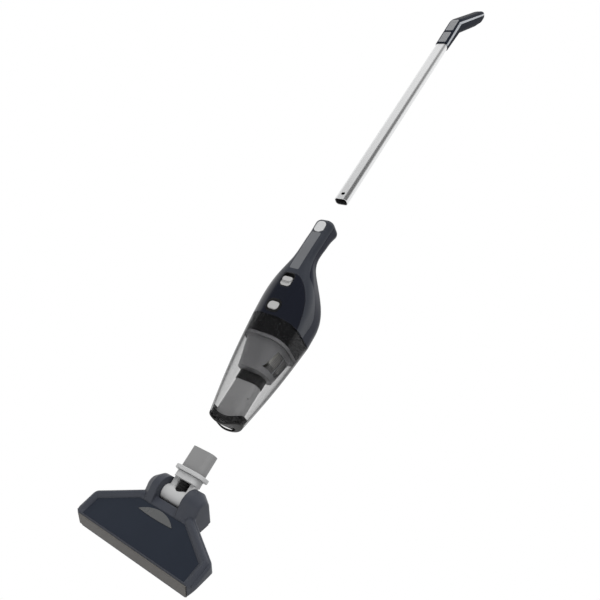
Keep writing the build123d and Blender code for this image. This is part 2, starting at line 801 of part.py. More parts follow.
with BuildPart() as motor:
    add(drive_disc(MOTOR_RADIUS, MOTOR_FOOT, MOTOR_TOP))
    fillet(motor.edges().group_by(Axis.Z)[-1], FRAME_THICK)
    add(drive_disc(MOTOR_RADIUS / 3, MOTOR_TOP - FRAME_THICK, MOTOR_TOP + FRAME_THICK))
    add(shaft_hole, mode=Mode.SUBTRACT)
motor.part.label = "motor"
export_step(motor.part, "parts/motor.step")

with BuildPart() as control_board:
    extrude(
        pushed_back(front_outline(BOARD_WIDTH, BOARD_LOW, BOARD_HIGH, BOARD_THICK), BOARD_Y - SEAM),
        amount=BOARD_THICK,
    )
control_board.part.label = "control_board"
export_step(control_board.part, "parts/control_board.step")

with BuildPart() as micro_switch:
    extrude(
        pushed_back(
            front_outline(
                SWITCH_SIZE, STEM_MIDDLE - SWITCH_SIZE / 2, STEM_MIDDLE + SWITCH_SIZE / 2, BOARD_THICK
            ),
            BOARD_FACE - SEAM / 2,
        ),
        amount=SWITCH_SIZE,
    )
micro_switch.part.label = "micro_switch"
export_step(micro_switch.part, "parts/micro_switch.step")

# Battery: two cells lying across the back of the belly in a scalloped cradle
CELL_LOW = FRAME_TOP + SEAM + CELL_RADIUS + CRADLE_WALL / 2
CELL_SPOTS = ((CELL_Y, CELL_LOW), (CELL_Y - CELL_SHIFT, CELL_LOW + CELL_PITCH))


def cell_pair(margin):
    with BuildPart() as pair:
        with BuildSketch(Plane.YZ):
            for y, height in CELL_SPOTS:
                with Locations((y, above_mouth(height))):
                    Circle(CELL_RADIUS + margin)
        extrude(amount=CELL_LENGTH / 2, both=True)
    return pair.part


with BuildPart() as battery_cells:
    add(cell_pair(0))
battery_cells.part.label = "battery_cells"
export_step(battery_cells.part, "parts/battery_cells.step")

CRADLE_TOP = CELL_LOW + CELL_PITCH + CELL_RADIUS
CRADLE_FRONT = CELL_Y - CELL_SHIFT - CELL_RADIUS - 2 * CRADLE_WALL

with BuildPart() as battery_cradle:
    add(
        side_prism(
            (CRADLE_FRONT, above_mouth(FRAME_TOP + SEAM)),
            (CELL_Y - CRADLE_WALL, above_mouth(FRAME_TOP + SEAM)),
            (CELL_Y - CELL_SHIFT - CRADLE_WALL, above_mouth(CRADLE_TOP)),
            (CRADLE_FRONT, above_mouth(CRADLE_TOP)),
            reach=CELL_LENGTH / 2 - SEAM,
        )
    )
    add(cell_pair(SEAM / 2), mode=Mode.SUBTRACT)
battery_cradle.part.label = "battery_cradle"
export_step(battery_cradle.part, "parts/battery_cradle.step")

with BuildPart() as charge_jack:
    with BuildSketch(JACK_PLANE):
        Circle(JACK_RADIUS)
    extrude(amount=-JACK_LENGTH)
    with BuildSketch(JACK_PLANE):
        Circle(JACK_BORE)
    extrude(amount=-JACK_LENGTH + JACK_RADIUS - JACK_BORE, mode=Mode.SUBTRACT)
charge_jack.part.label = "charge_jack"
export_step(charge_jack.part, "parts/charge_jack.step")

with BuildPart() as housing_screws:
    add(screw_group(0, 0))
housing_screws.part.label = "housing_screws"
export_step(housing_screws.part, "parts/housing_screws.step")

# Dust bowl: clear shell with a curved mouth, lip, collar, inlet duct and filter


def bowl_section(height, inset):
    """Section of the bowl at a height above the mouth, drawn in by inset."""
    share = height / JOINT_HEIGHT
    swell = BOWL_SWELL * sin(pi * share)
    return rounded_section(
        Plane.XY.offset(above_mouth(height)),
        MOUTH_HALF + (BODY_HALF - MOUTH_HALF) * share + swell - inset,
        MOUTH_FRONT + (BODY_FRONT - MOUTH_FRONT) * share - swell + inset,
        MOUTH_BACK + (BODY_BACK - MOUTH_BACK) * share + swell - inset,
        MOUTH_CORNER + (BODY_CORNER - MOUTH_CORNER) * share - inset,
    )


BOWL_TOP = JOINT_HEIGHT - SEAM
BOWL_FOOT = -LIP_BAND
BOWL_STATIONS = (BOWL_FOOT, 0, 40, BOWL_MIDDLE, 145, BOWL_TOP)


def bowl_form(inset):
    return lofted([bowl_section(height, inset) for height in BOWL_STATIONS])


def above_arc(drop):
    """Everything above the mouth's arc, which is lowest at the middle; drop lowers it."""
    with BuildPart() as region:
        with BuildSketch(Plane.XZ):
            with BuildLine():
                arc = ThreePointArc(
                    (-MOUTH_HALF, above_mouth(MOUTH_RISE - drop)),
                    (0, above_mouth(-MOUTH_DIP - drop)),
                    (MOUTH_HALF, above_mouth(MOUTH_RISE - drop)),
                )
                Polyline(
                    arc @ 1,
                    (2 * BODY_HALF, above_mouth(BODY_HALF)),
                    (2 * BODY_HALF, VAC_TOP_Z),
                    (-2 * BODY_HALF, VAC_TOP_Z),
                    (-2 * BODY_HALF, above_mouth(BODY_HALF)),
                    arc @ 0,
                )
            make_face()
        extrude(amount=-FAR)
    return region.part


rim_region = above_arc(0)
bowl_inner = bowl_form(BOWL_WALL)

with BuildPart() as bowl_shell:
    add(bowl_form(0))
    add(bowl_inner, mode=Mode.SUBTRACT)
    add(rim_region, mode=Mode.INTERSECT)
bowl_shell.part.label = "bowl_shell"
export_step(bowl_shell.part, "parts/bowl_shell.step")

# Air way through the lip and the duct: a sliding fit round the connector
WAY_WIDTH = CONNECTOR_WIDTH + 2 * SLIDE_FIT
WAY_DEPTH = CONNECTOR_DEPTH + 2 * SLIDE_FIT
WAY_CORNER = CONNECTOR_CORNER + SLIDE_FIT


def way_block(low, high, margin):
    """Prism of the air way between two heights, grown by margin."""
    with BuildPart() as block:
        with BuildSketch(Plane.XY.offset(above_mouth(low))):
            with Locations((0, DOCK_Y)):
                RectangleRounded(
                    WAY_WIDTH + 2 * margin, WAY_DEPTH + 2 * margin, WAY_CORNER + margin
                )
        extrude(amount=high - low)
    return block.part


LIP_LOW = BOWL_FOOT - LIP_FOOT

with BuildPart() as nozzle_lip:
    add(lofted([bowl_section(height, 0) for height in (LIP_LOW, 0, MOUTH_RISE + LIP_BAND)]))
    add(above_arc(LIP_FOOT + SEAM), mode=Mode.INTERSECT)
    add(rim_region.moved(Location((0, 0, -SEAM))), mode=Mode.SUBTRACT)
    lip_band = lofted(
        [bowl_section(height, BOWL_WALL + SEAM) for height in (LIP_LOW, 0, MOUTH_RISE + LIP_BAND)]
    )
    with BuildPart(mode=Mode.PRIVATE) as band_form:
        add(lip_band)
        add(
            lofted(
                [
                    bowl_section(height, BOWL_WALL + SEAM + LIP_WALL)
                    for height in (LIP_LOW, 0, MOUTH_RISE + LIP_BAND)
                ]
            ),
            mode=Mode.SUBTRACT,
        )
        add(above_arc(LIP_FOOT), mode=Mode.INTERSECT)
        add(above_arc(-LIP_BAND), mode=Mode.SUBTRACT)
        add(way_block(-SEAM - MOUTH_DIP, LIP_BAND + MOUTH_RISE, DUCT_WALL + SEAM), mode=Mode.SUBTRACT)
    add(band_form.part)
    add(way_block(LIP_LOW, MOUTH_RISE + LIP_BAND, 0), mode=Mode.SUBTRACT)
nozzle_lip.part.label = "nozzle_lip"
export_step(nozzle_lip.part, "parts/nozzle_lip.step")

COLLAR_STATIONS = (COLLAR_FOOT, (COLLAR_FOOT + BOWL_TOP) / 2, BOWL_TOP)

with BuildPart() as bowl_collar:
    add(lofted([bowl_section(height, BOWL_WALL + SEAM) for height in COLLAR_STATIONS]))
    add(
        lofted([bowl_section(height, BOWL_WALL + SEAM + COLLAR_WALL) for height in COLLAR_STATIONS]),
        mode=Mode.SUBTRACT,
    )
bowl_collar.part.label = "bowl_collar"
export_step(bowl_collar.part, "parts/bowl_collar.step")

SEAL_FOOT = JOINT_HEIGHT + RUN_GAP - SEAL_DEPTH
SEAL_INSET = BOWL_WALL + SEAM + COLLAR_WALL + RUN_GAP

with BuildPart() as bowl_seal:
    extrude(bowl_section(SEAL_FOOT, SEAL_INSET), amount=SEAL_DEPTH)
    extrude(
        bowl_section(SEAL_FOOT, SEAL_INSET + SEAL_WIDTH), amount=SEAL_DEPTH, mode=Mode.SUBTRACT
    )
bowl_seal.part.label = "bowl_seal"
export_step(bowl_seal.part, "parts/bowl_seal.step")

# Flap pin: across the duct just behind its front wall
PIN_Y = DOCK_Y - WAY_DEPTH / 2 + FLAP_KNUCKLE + RUN_GAP
PIN_HALF = WAY_WIDTH / 2 - FLAP_PIN_TUCK
FLAP_HALF = WAY_WIDTH / 2 - WAY_CORNER
PIN_PLANE = Plane((0, PIN_Y, above_mouth(FLAP_HEIGHT)), x_dir=(0, 1, 0), z_dir=(1, 0, 0))

with BuildPart() as inlet_duct:
    add(way_block(-MOUTH_DIP, DUCT_TOP, DUCT_WALL))
    add(above_arc(-DUCT_LIFT), mode=Mode.INTERSECT)
    add(way_block(-2 * MOUTH_DIP, DUCT_TOP, 0), mode=Mode.SUBTRACT)
    with BuildSketch(PIN_PLANE):
        Circle(FLAP_PIN_RADIUS + PIN_FIT)
    extrude(amount=WAY_WIDTH, both=True, mode=Mode.SUBTRACT)
inlet_duct.part.label = "inlet_duct"
export_step(inlet_duct.part, "parts/inlet_duct.step")

with BuildPart() as flap_pin:
    with BuildSketch(PIN_PLANE):
        Circle(FLAP_PIN_RADIUS)
    extrude(amount=PIN_HALF, both=True)
flap_pin.part.label = "flap_pin"
export_step(flap_pin.part, "parts/flap_pin.step")

with BuildPart() as inlet_flap:
    add(way_block(FLAP_HEIGHT - FLAP_THICK / 2, FLAP_HEIGHT + FLAP_THICK / 2, -SLIDE_FIT))
    add(
        side_prism(
            (0, above_mouth(0)), (PIN_Y, above_mouth(0)), (PIN_Y, VAC_TOP_Z), (0, VAC_TOP_Z)
        ),
        mode=Mode.SUBTRACT,
    )
    with BuildSketch(PIN_PLANE):
        Circle(FLAP_KNUCKLE)
    extrude(amount=FLAP_HALF, both=True)
    with BuildSketch(PIN_PLANE):
        Circle(FLAP_PIN_RADIUS + PIN_FIT)
    extrude(amount=WAY_WIDTH, both=True, mode=Mode.SUBTRACT)
inlet_flap.part.label = "inlet_flap"
export_step(inlet_flap.part, "parts/inlet_flap.step")

RING_FOOT = DUCT_TOP + SEAM
RING_HALF_DEPTH = WAY_DEPTH / 2 + RING_WALL

with BuildPart() as duct_ring:
    add(way_block(RING_FOOT, RING_TOP, RING_WALL))
    add(way_block(RING_FOOT, RING_TOP, 0), mode=Mode.SUBTRACT)
    for rib in range(RING_RIBS):
        x = (rib - (RING_RIBS - 1) / 2) * RING_PITCH
        with Locations((x, DOCK_Y - RING_HALF_DEPTH, above_mouth((RING_FOOT + RING_TOP) / 2))):
            Box(RING_PITCH / 2, RING_GROOVE, RING_TOP, mode=Mode.SUBTRACT)
    with Locations((0, DOCK_Y + RING_HALF_DEPTH, above_mouth(RING_TOP))):
        Box(WAY_WIDTH - 2 * WAY_CORNER, WAY_DEPTH, RING_TOP - RING_FOOT, mode=Mode.SUBTRACT)
duct_ring.part.label = "duct_ring"
export_step(duct_ring.part, "parts/duct_ring.step")

# Filter: tapered frame hung on the collar's foot, with a pleated pack inside
FILTER_TOP = COLLAR_FOOT - SEAM
FILTER_SEAT = FILTER_TOP - FILTER_FLANGE


def filter_form(inset, low, high):
    """Tapered basket drawn in by inset."""
    return lofted(
        [
            rounded_section(
                Plane.XY.offset(above_mouth(high)),
                FILTER_TOP_HALF - inset,
                FILTER_TOP_FRONT + inset,
                FILTER_TOP_BACK - inset,
                FILTER_TOP_CORNER - inset,
            ),
            rounded_section(
                Plane.XY.offset(above_mouth(low)),
                FILTER_FOOT_HALF - inset,
                FILTER_FOOT_FRONT + inset,
                FILTER_FOOT_BACK - inset,
                FILTER_FOOT_CORNER - inset,
            ),
        ]
    )


filter_inner = filter_form(FILTER_WALL, FILTER_FOOT + FILTER_WALL, FILTER_TOP)

with BuildPart() as filter_frame:
    extrude(bowl_section(FILTER_SEAT, BOWL_WALL + SEAM), amount=FILTER_FLANGE)
    add(filter_form(0, FILTER_FOOT, FILTER_TOP))
    add(filter_inner, mode=Mode.SUBTRACT)
    middle = above_mouth((FILTER_FOOT + FILTER_SEAT) / 2)
    for y in (DRIVE_Y + FILTER_WINDOW * 0.35, DRIVE_Y - FILTER_WINDOW * 0.35):
        with Locations((0, y + 6, middle)):
            Box(4 * BODY_HALF, FILTER_WINDOW * 0.6, FILTER_WINDOW, mode=Mode.SUBTRACT)
filter_frame.part.label = "filter_frame"
export_step(filter_frame.part, "parts/filter_frame.step")

PLEAT_PITCH = 2 * (FILTER_FOOT_HALF - FILTER_WALL) / PLEAT_COUNT
PLEAT_TOP = above_mouth(FILTER_TOP - FILTER_FLANGE / 2)
pleat_line = [
    (-FILTER_FOOT_HALF + FILTER_WALL + step * PLEAT_PITCH / 2, PLEAT_TOP - (step % 2) * PLEAT_DEPTH)
    for step in range(2 * PLEAT_COUNT + 1)
]

with BuildPart() as pleated_filter:
    with BuildSketch(Plane.XZ):
        with BuildLine():
            Polyline(*pleat_line, *[(x, z - PLEAT_GAP) for x, z in reversed(pleat_line)], close=True)
        make_face()
    extrude(amount=-FAR)
    add(
        filter_form(FILTER_WALL + SEAM, FILTER_FOOT + FILTER_WALL, FILTER_TOP), mode=Mode.INTERSECT
    )
pleated_filter.part.label = "pleated_filter"
export_step(pleated_filter.part, "parts/pleated_filter.step")

# Wand: oval tube and a handle that bends back, moulded round a middle band

TILT = Vector(0, sin(radians(GRIP_BEND)), cos(radians(GRIP_BEND)))


BEND_RUN = BEND_RADIUS * tan(radians(GRIP_BEND / 2))


def grip_plane(way):
    """Plane across one of the handle's two straight legs, at a length way above its foot."""
    if way < GRIP_NECK:
        return Plane((0, 0, FOOT_Z + way), x_dir=(1, 0, 0), z_dir=(0, 0, 1))
    return Plane(TILT * (way - GRIP_NECK), x_dir=(1, 0, 0), z_dir=TILT)


def bend_plane(share):
    """Plane across the bend between the two legs, at a share of its turn."""
    turn = radians(GRIP_BEND * share)
    middle = (0, BEND_RADIUS * (1 - cos(turn)), BEND_RADIUS * sin(turn) - BEND_RUN)
    return Plane(middle, x_dir=(1, 0, 0), z_dir=(0, sin(turn), cos(turn)))


def grip_section(plane, width, depth, corner, shift=0.0):
    with BuildSketch(plane) as profile:
        with Locations((0, shift)):
            RectangleRounded(width, depth, corner)
    return profile.sketch


HANDLE_LENGTH = GRIP_NECK + GRIP_LENGTH
BEND_SHARES = (0.0, 0.25, 0.5, 0.75, 1.0)

# Distance from the tip, what width, depth and corner lose there, and how far the middle moves back
TIP_STATIONS = ((56.0, 0.0, 0.0, 0.0, 0.0), (22.0, 0.0, 4.0, 2.0, -2.0), (0.0, 6.0, 12.0, 5.0, -5.0))

with BuildPart() as grip_form:
    loft(
        [
            grip_section(grip_plane(0), FOOT_WIDTH, FOOT_DEPTH, FOOT_DEPTH * 0.38),
            *[
                grip_section(
                    bend_plane(share), GRIP_WIDTH, GRIP_DEPTH - BEND_THIN * (1 - share), GRIP_CORNER - 2, 1
                )
                for share in BEND_SHARES
            ],
            *[
                grip_section(
                    grip_plane(HANDLE_LENGTH - rest),
                    GRIP_WIDTH - narrower,
                    GRIP_DEPTH - thinner,
                    GRIP_CORNER - sharper,
                    shift,
                )
                for rest, narrower, thinner, sharper, shift in TIP_STATIONS
            ],
        ],
        ruled=True,
    )
    fillet(grip_form.faces().sort_by(Axis.Z)[-1].edges(), GRIP_TIP_ROUND)
grip_outer = grip_form.part

with BuildPart() as tube_form:
    with BuildSketch(Plane.XY.offset(TUBE_END_Z)):
        RectangleRounded(TUBE_WIDTH, TUBE_DEPTH, TUBE_CORNER)
    extrude(amount=TUBE_SHOWN + TUBE_INSET)
tube_outer = tube_form.part

with BuildPart() as tube_room_form:
    with BuildSketch(Plane.XY.offset(TUBE_END_Z)):
        RectangleRounded(TUBE_WIDTH + SEAM, TUBE_DEPTH + SEAM, TUBE_CORNER + SEAM / 2)
    extrude(amount=TUBE_SHOWN + TUBE_INSET + SEAM / 2)
tube_room = tube_room_form.part

with BuildPart() as wand_tube:
    add(tube_outer)
    with BuildSketch(Plane.XY.offset(TUBE_END_Z)):
        RectangleRounded(
            TUBE_WIDTH - 2 * TUBE_WALL, TUBE_DEPTH - 2 * TUBE_WALL, TUBE_CORNER - TUBE_WALL
        )
    extrude(amount=TUBE_SHOWN + TUBE_INSET, mode=Mode.SUBTRACT)
    with BuildSketch(Plane.XZ):
        with Locations((0, TUBE_END_Z + LATCH_HOLE_RISE)):
            Circle(LATCH_HOLE_RADIUS)
    extrude(amount=TUBE_DEPTH, mode=Mode.SUBTRACT)
wand_tube.part.label = "wand_tube"
export_step(wand_tube.part, "parts/wand_tube.step")

LINER_INSET = TUBE_WALL + SEAM / 2

with BuildPart() as tube_liner:
    with BuildSketch(Plane.XY.offset(TUBE_END_Z + TUBE_WALL)):
        RectangleRounded(
            TUBE_WIDTH - 2 * LINER_INSET, TUBE_DEPTH - 2 * LINER_INSET, TUBE_CORNER - LINER_INSET
        )
        RectangleRounded(
            TUBE_WIDTH - 2 * LINER_INSET - 2 * LINER_WALL,
            TUBE_DEPTH - 2 * LINER_INSET - 2 * LINER_WALL,
            TUBE_CORNER - LINER_INSET - LINER_WALL,
            mode=Mode.SUBTRACT,
        )
    extrude(amount=LINER_LENGTH)
    with BuildSketch(Plane.XZ):
        with Locations((0, TUBE_END_Z + LATCH_HOLE_RISE)):
            Circle(LATCH_HOLE_RADIUS)
    extrude(amount=TUBE_DEPTH, mode=Mode.SUBTRACT)
tube_liner.part.label = "tube_liner"
export_step(tube_liner.part, "parts/tube_liner.step")

# Edges of the middle band at foot, bend and tip, measured back from the handle's centre line
BAND_FRONT = (-6.5, -9.5, -9.5)
BAND_BACK = (-1.5, -4.0, -6.0)


def band_points(edge, margin):
    """One edge of the band in the side view, from below the foot to past the tip."""
    foot, bend, tip = edge
    spots = [(foot + margin, FOOT_Z - 1), (bend + margin, 0)]
    end = grip_plane(HANDLE_LENGTH + 10).from_local_coords((0, tip + margin, 0))
    return [*spots, (end.Y, end.Z)]


def behind_edge(edge, margin):
    """Region of the side view behind one edge of the band."""
    line = band_points(edge, margin)
    return side_prism(*line, (FAR, line[-1][1]), (FAR, line[0][1]))


HANG_PLANE = grip_plane(HANDLE_LENGTH - HANG_HOLE_FROM_TIP)
HANG_AXIS = Plane(HANG_PLANE.origin, x_dir=(1, 0, 0), z_dir=-HANG_PLANE.y_dir)

with BuildPart() as hang_form:
    with BuildSketch(HANG_AXIS):
        Circle(HANG_HOLE_RADIUS)
    extrude(amount=GRIP_DEPTH, both=True)
hang_hole = hang_form.part


def handle_screws(margin, recess):
    """Screws through the rear half of the handle, or their holes when a margin is given."""
    with BuildPart() as group:
        for way in WAND_SCREWS:
            across = grip_plane(way)
            seat = across.from_local_coords((0, GRIP_DEPTH / 2 - SCREW_SUNK, 0))
            spot = Plane(seat, x_dir=(1, 0, 0), z_dir=across.y_dir)
            for radius, reach in ((SCREW_RADIUS, SCREW_HEAD), (SCREW_SHANK, SCREW_LENGTH)):
                with BuildSketch(spot):
                    Circle(radius + margin)
                extrude(amount=-reach)
            if recess:
                with BuildSketch(spot):
                    Circle(SCREW_RADIUS + margin)
                extrude(amount=recess)
    return group.part


handle_holes = handle_screws(SEAM / 2, GRIP_DEPTH)


def inlay_outline(low, high, margin=0.0):
    """Inlay on the front of the handle, between two heights."""
    with BuildSketch(Plane.XZ) as outline:
        with Locations((0, (low + high) / 2)):
            RectangleRounded(INLAY_WIDTH + 2 * margin, high - low + 2 * margin, 3 + margin)
    return outline.sketch


GRIP_PAD_TOP = GRIP_PAD_END * TILT.Z
INLAYS = {
    "wand_inlay_lower": (FOOT_Z + 2.5, INLAY_SPLIT_Z - INLAY_BREAK / 2),
    "wand_inlay_upper": (INLAY_SPLIT_Z + INLAY_BREAK / 2, INLAY_TOP_Z),
    "wand_grip_pad": (INLAY_TOP_Z + 1.5, GRIP_PAD_TOP),
}


def inlay_plate(low, high, margin, depth):
    """Front skin of the handle inside an inlay's outline."""
    with BuildPart() as plate:
        extrude(inlay_outline(low, high, margin).moved(Location((0, FAR / 2, 0))), amount=FAR)
        add(grip_outer, mode=Mode.INTERSECT)
        add(grip_outer.moved(Location((0, depth, 0))), mode=Mode.SUBTRACT)
    return plate.part


with BuildPart() as wand_handle_front:
    add(grip_outer)
    add(behind_edge(BAND_FRONT, -SEAM / 2), mode=Mode.SUBTRACT)
    add(tube_room, mode=Mode.SUBTRACT)
    add(hang_hole, mode=Mode.SUBTRACT)
    add(handle_holes, mode=Mode.SUBTRACT)
    for low, high in INLAYS.values():
        add(inlay_plate(low, high, SEAM / 2, INLAY_DEPTH + SEAM / 2), mode=Mode.SUBTRACT)
wand_handle_front.part.label = "wand_handle_front"
export_step(wand_handle_front.part, "parts/wand_handle_front.step")

with BuildPart() as wand_handle_trim:
    add(grip_outer)
    add(behind_edge(BAND_FRONT, SEAM / 2), mode=Mode.INTERSECT)
    add(behind_edge(BAND_BACK, -SEAM / 2), mode=Mode.SUBTRACT)
    add(tube_room, mode=Mode.SUBTRACT)
    add(hang_hole, mode=Mode.SUBTRACT)
    add(handle_holes, mode=Mode.SUBTRACT)
wand_handle_trim.part.label = "wand_handle_trim"
export_step(wand_handle_trim.part, "parts/wand_handle_trim.step")

with BuildPart() as wand_handle_rear:
    add(grip_outer)
    add(behind_edge(BAND_BACK, SEAM / 2), mode=Mode.INTERSECT)
    add(tube_room, mode=Mode.SUBTRACT)
    add(hang_hole, mode=Mode.SUBTRACT)
    add(handle_holes, mode=Mode.SUBTRACT)
wand_handle_rear.part.label = "wand_handle_rear"
export_step(wand_handle_rear.part, "parts/wand_handle_rear.step")

for name, (low, high) in INLAYS.items():
    with BuildPart() as inlay:
        add(inlay_plate(low, high, 0, INLAY_DEPTH))
    inlay.part.label = name
    export_step(inlay.part, f"parts/{name}.step")

with BuildPart() as wand_screws:
    add(handle_screws(0, 0))
wand_screws.part.label = "wand_screws"
export_step(wand_screws.part, "parts/wand_screws.step")

# Connector that plugs into the nozzle, and the neck that swivels under it


def dock_section(z, width, depth, corner):
    """Rounded rectangle on the docking axis at height z."""
    with BuildSketch(Plane.XY.offset(z)) as outline:
        with Locations((0, DOCK_Y)):
            RectangleRounded(width, depth, corner)
    return outline.sketch


FLANGE_FOOT_Z = FLANGE_Z - FLANGE_THICK
BORE_RADIUS = SPIGOT_RADIUS - CONNECTOR_WALL

with BuildPart() as connector_tube:
    extrude(
        dock_section(FLANGE_Z + SEAM / 2, CONNECTOR_WIDTH, CONNECTOR_DEPTH, CONNECTOR_CORNER),
        amount=CONNECTOR_REACH - SEAM / 2,
    )
    fillet(connector_tube.faces().sort_by(Axis.Z)[-1].edges(), CONNECTOR_WALL / 3)
    extrude(
        dock_section(
            FLANGE_Z,
            CONNECTOR_WIDTH - 2 * CONNECTOR_WALL,
            CONNECTOR_DEPTH - 2 * CONNECTOR_WALL,
            CONNECTOR_CORNER - CONNECTOR_WALL,
        ),
        amount=CONNECTOR_REACH + 1,
        mode=Mode.SUBTRACT,
    )
connector_tube.part.label = "connector_tube"
export_step(connector_tube.part, "parts/connector_tube.step")

with BuildPart() as connector_flange:
    extrude(
        dock_section(FLANGE_FOOT_Z, FLANGE_WIDTH, FLANGE_DEPTH, FLANGE_CORNER),
        amount=FLANGE_THICK + FLANGE_RIM,
    )
    fillet(connector_flange.edges().filter_by(Plane.XY), FLANGE_RIM / 2)
    extrude(
        dock_section(
            FLANGE_Z,
            FLANGE_WIDTH - 2 * FLANGE_RIM,
            FLANGE_DEPTH - 2 * FLANGE_RIM,
            FLANGE_CORNER - FLANGE_RIM,
        ),
        amount=FLANGE_RIM + 1,
        mode=Mode.SUBTRACT,
    )
    with BuildSketch(Plane.XY.offset(FLANGE_FOOT_Z)):
        with Locations((0, DOCK_Y)):
            Circle(SPIGOT_RADIUS)
    extrude(amount=-SPIGOT_LENGTH)
    with BuildSketch(Plane.XY.offset(FLANGE_FOOT_Z - SPIGOT_LENGTH)):
        with Locations((0, DOCK_Y)):
            Circle(BORE_RADIUS)
    extrude(amount=FAR, mode=Mode.SUBTRACT)
connector_flange.part.label = "connector_flange"
export_step(connector_flange.part, "parts/connector_flange.step")

YOKE_TOP_Z = FLANGE_FOOT_Z - RUN_GAP
YOKE_BLOCK_Z = YOKE_TOP_Z - YOKE_RING_LENGTH
BARREL_HALF = HUMP_IN - RUN_GAP
BARREL_PLANE = Plane((0, DOCK_Y, HINGE_Z), x_dir=(0, 1, 0), z_dir=(1, 0, 0))

with BuildPart() as neck_yoke:
    extrude(
        dock_section(
            YOKE_BLOCK_Z,
            2 * YOKE_ARM_X + YOKE_ARM,
            2 * (SPIGOT_RADIUS + RUN_GAP + YOKE_RING_WALL),
            SPIGOT_RADIUS,
        ),
        amount=YOKE_RING_LENGTH,
    )
    for side in (-1, 1):
        with BuildSketch(Plane.XY.offset(HINGE_Z)):
            with Locations((side * YOKE_ARM_X, DOCK_Y)):
                RectangleRounded(YOKE_ARM, YOKE_ARM_DEPTH, YOKE_ARM / 4)
        extrude(amount=YOKE_BLOCK_Z - HINGE_Z)
    with BuildSketch(BARREL_PLANE):
        Circle(BARREL_RADIUS)
    extrude(amount=BARREL_HALF, both=True)
    fillet(
        neck_yoke.edges().filter_by(GeomType.CIRCLE).group_by(Axis.X)[0]
        + neck_yoke.edges().filter_by(GeomType.CIRCLE).group_by(Axis.X)[-1],
        1.5,
    )
    with BuildSketch(Plane.XY.offset(YOKE_TOP_Z)):
        with Locations((0, DOCK_Y)):
            Circle(SPIGOT_RADIUS + RUN_GAP)
    extrude(amount=HINGE_Z - YOKE_TOP_Z, mode=Mode.SUBTRACT)
    with BuildSketch(BARREL_PLANE):
        Circle(PIN_RADIUS + PIN_FIT)
    extrude(amount=BARREL_HALF + 1, both=True, mode=Mode.SUBTRACT)
neck_yoke.part.label = "neck_yoke"
export_step(neck_yoke.part, "parts/neck_yoke.step")

# Ribbed sleeve between the yoke's arms: ruled through four circles a rib
BELLOWS_FOOT_Z = HINGE_Z + BELLOWS_SEAT
BELLOWS_LENGTH = YOKE_BLOCK_Z + BELLOWS_TUCK - BELLOWS_FOOT_Z
RIB_PITCH = BELLOWS_LENGTH / BELLOWS_RIBS


def bellows_ring(z, radius):
    with BuildSketch(Plane.XY.offset(z)) as ring:
        with Locations((0, DOCK_Y)):
            Circle(radius)
    return ring.sketch


rib_rings = []
for rib in range(BELLOWS_RIBS):
    low = BELLOWS_FOOT_Z + rib * RIB_PITCH
    for share, swell in ((0.0, 0), (0.3, BELLOWS_RIB), (0.6, BELLOWS_RIB), (0.9, 0)):
        rib_rings.append(bellows_ring(low + share * RIB_PITCH, BELLOWS_RADIUS + swell))

with BuildPart() as neck_bellows:
    loft(rib_rings, ruled=True)
    extrude(
        bellows_ring(BELLOWS_FOOT_Z, BELLOWS_RADIUS - BELLOWS_WALL),
        amount=BELLOWS_LENGTH,
        mode=Mode.SUBTRACT,
    )
neck_bellows.part.label = "neck_bellows"
export_step(neck_bellows.part, "parts/neck_bellows.step")

# Floor head, drawn in its own frame: u to the right, v to the back, n up, all from the hinge
LEAN_COS = cos(radians(HEAD_LEAN))
LEAN_SIN = sin(radians(HEAD_LEAN))
HEAD = Plane((0, DOCK_Y, HINGE_Z), x_dir=(1, 0, 0), z_dir=(0, -LEAN_COS, LEAN_SIN))
HEAD_SIDE = Plane(HEAD.origin, x_dir=HEAD.y_dir, z_dir=(1, 0, 0))
HEAD_FACE = Plane(HEAD.origin, x_dir=(1, 0, 0), z_dir=-HEAD.y_dir)
HEAD_UP = Axis(HEAD.origin, HEAD.z_dir)
SOLE = -HINGE_HEIGHT
COVER_FRONT = BUMPER_THICK / 2 - HEAD_FRONT
END_BACK = HEAD_END_DEPTH - HEAD_FRONT
SLOPE = (CREST_HEIGHT - LIP_HEIGHT) / (HEAD_FRONT - COVER_BACK)


def slope_height(v, drop=0.0):
    """Height of the cover's sloping top at a distance v from the hinge."""
    return SOLE + LIP_HEIGHT + SLOPE * (v + HEAD_FRONT) - drop


def head_plan(inset, level):
    """Plan of the head: straight front, deep ends, back edges running in to the waist."""
    end = HEAD_WIDTH / 2
    with BuildSketch(HEAD.offset(level)) as plan:
        with BuildLine():
            Polyline(
                (-end, COVER_FRONT),
                (end, COVER_FRONT),
                (end, END_BACK),
                (WAIST_HALF, -COVER_BACK),
                (-WAIST_HALF, -COVER_BACK),
                (-end, END_BACK),
                close=True,
            )
        make_face()
        fillet(plan.vertices(), PLAN_CORNER)
        if inset:
            offset(amount=-inset, mode=Mode.REPLACE)
    return plan.sketch


def above_slope(drop):
    """Everything above the cover's top once it is lowered by drop."""
    return side_prism(
        (-FAR, slope_height(-FAR, drop)),
        (FAR, slope_height(FAR, drop)),
        (FAR, FAR),
        (-FAR, FAR),
        plane=HEAD_SIDE,
    )


def end_wedges(inset, bottom):
    """Wedges that undercut both ends of the head towards the sole."""
    end = HEAD_WIDTH / 2 + 1
    with BuildPart() as wedges:
        for side in (-1, 1):
            with BuildSketch(HEAD_FACE):
                with BuildLine():
                    Polyline(
                        (side * (end - END_CHAMFER - inset), bottom),
                        (side * (end + 1), bottom),
                        (side * (end + 1), bottom + END_CHAMFER * 1.25 + inset),
                        close=True,
                    )
                make_face()
            extrude(amount=FAR, both=True)
    return wedges.part


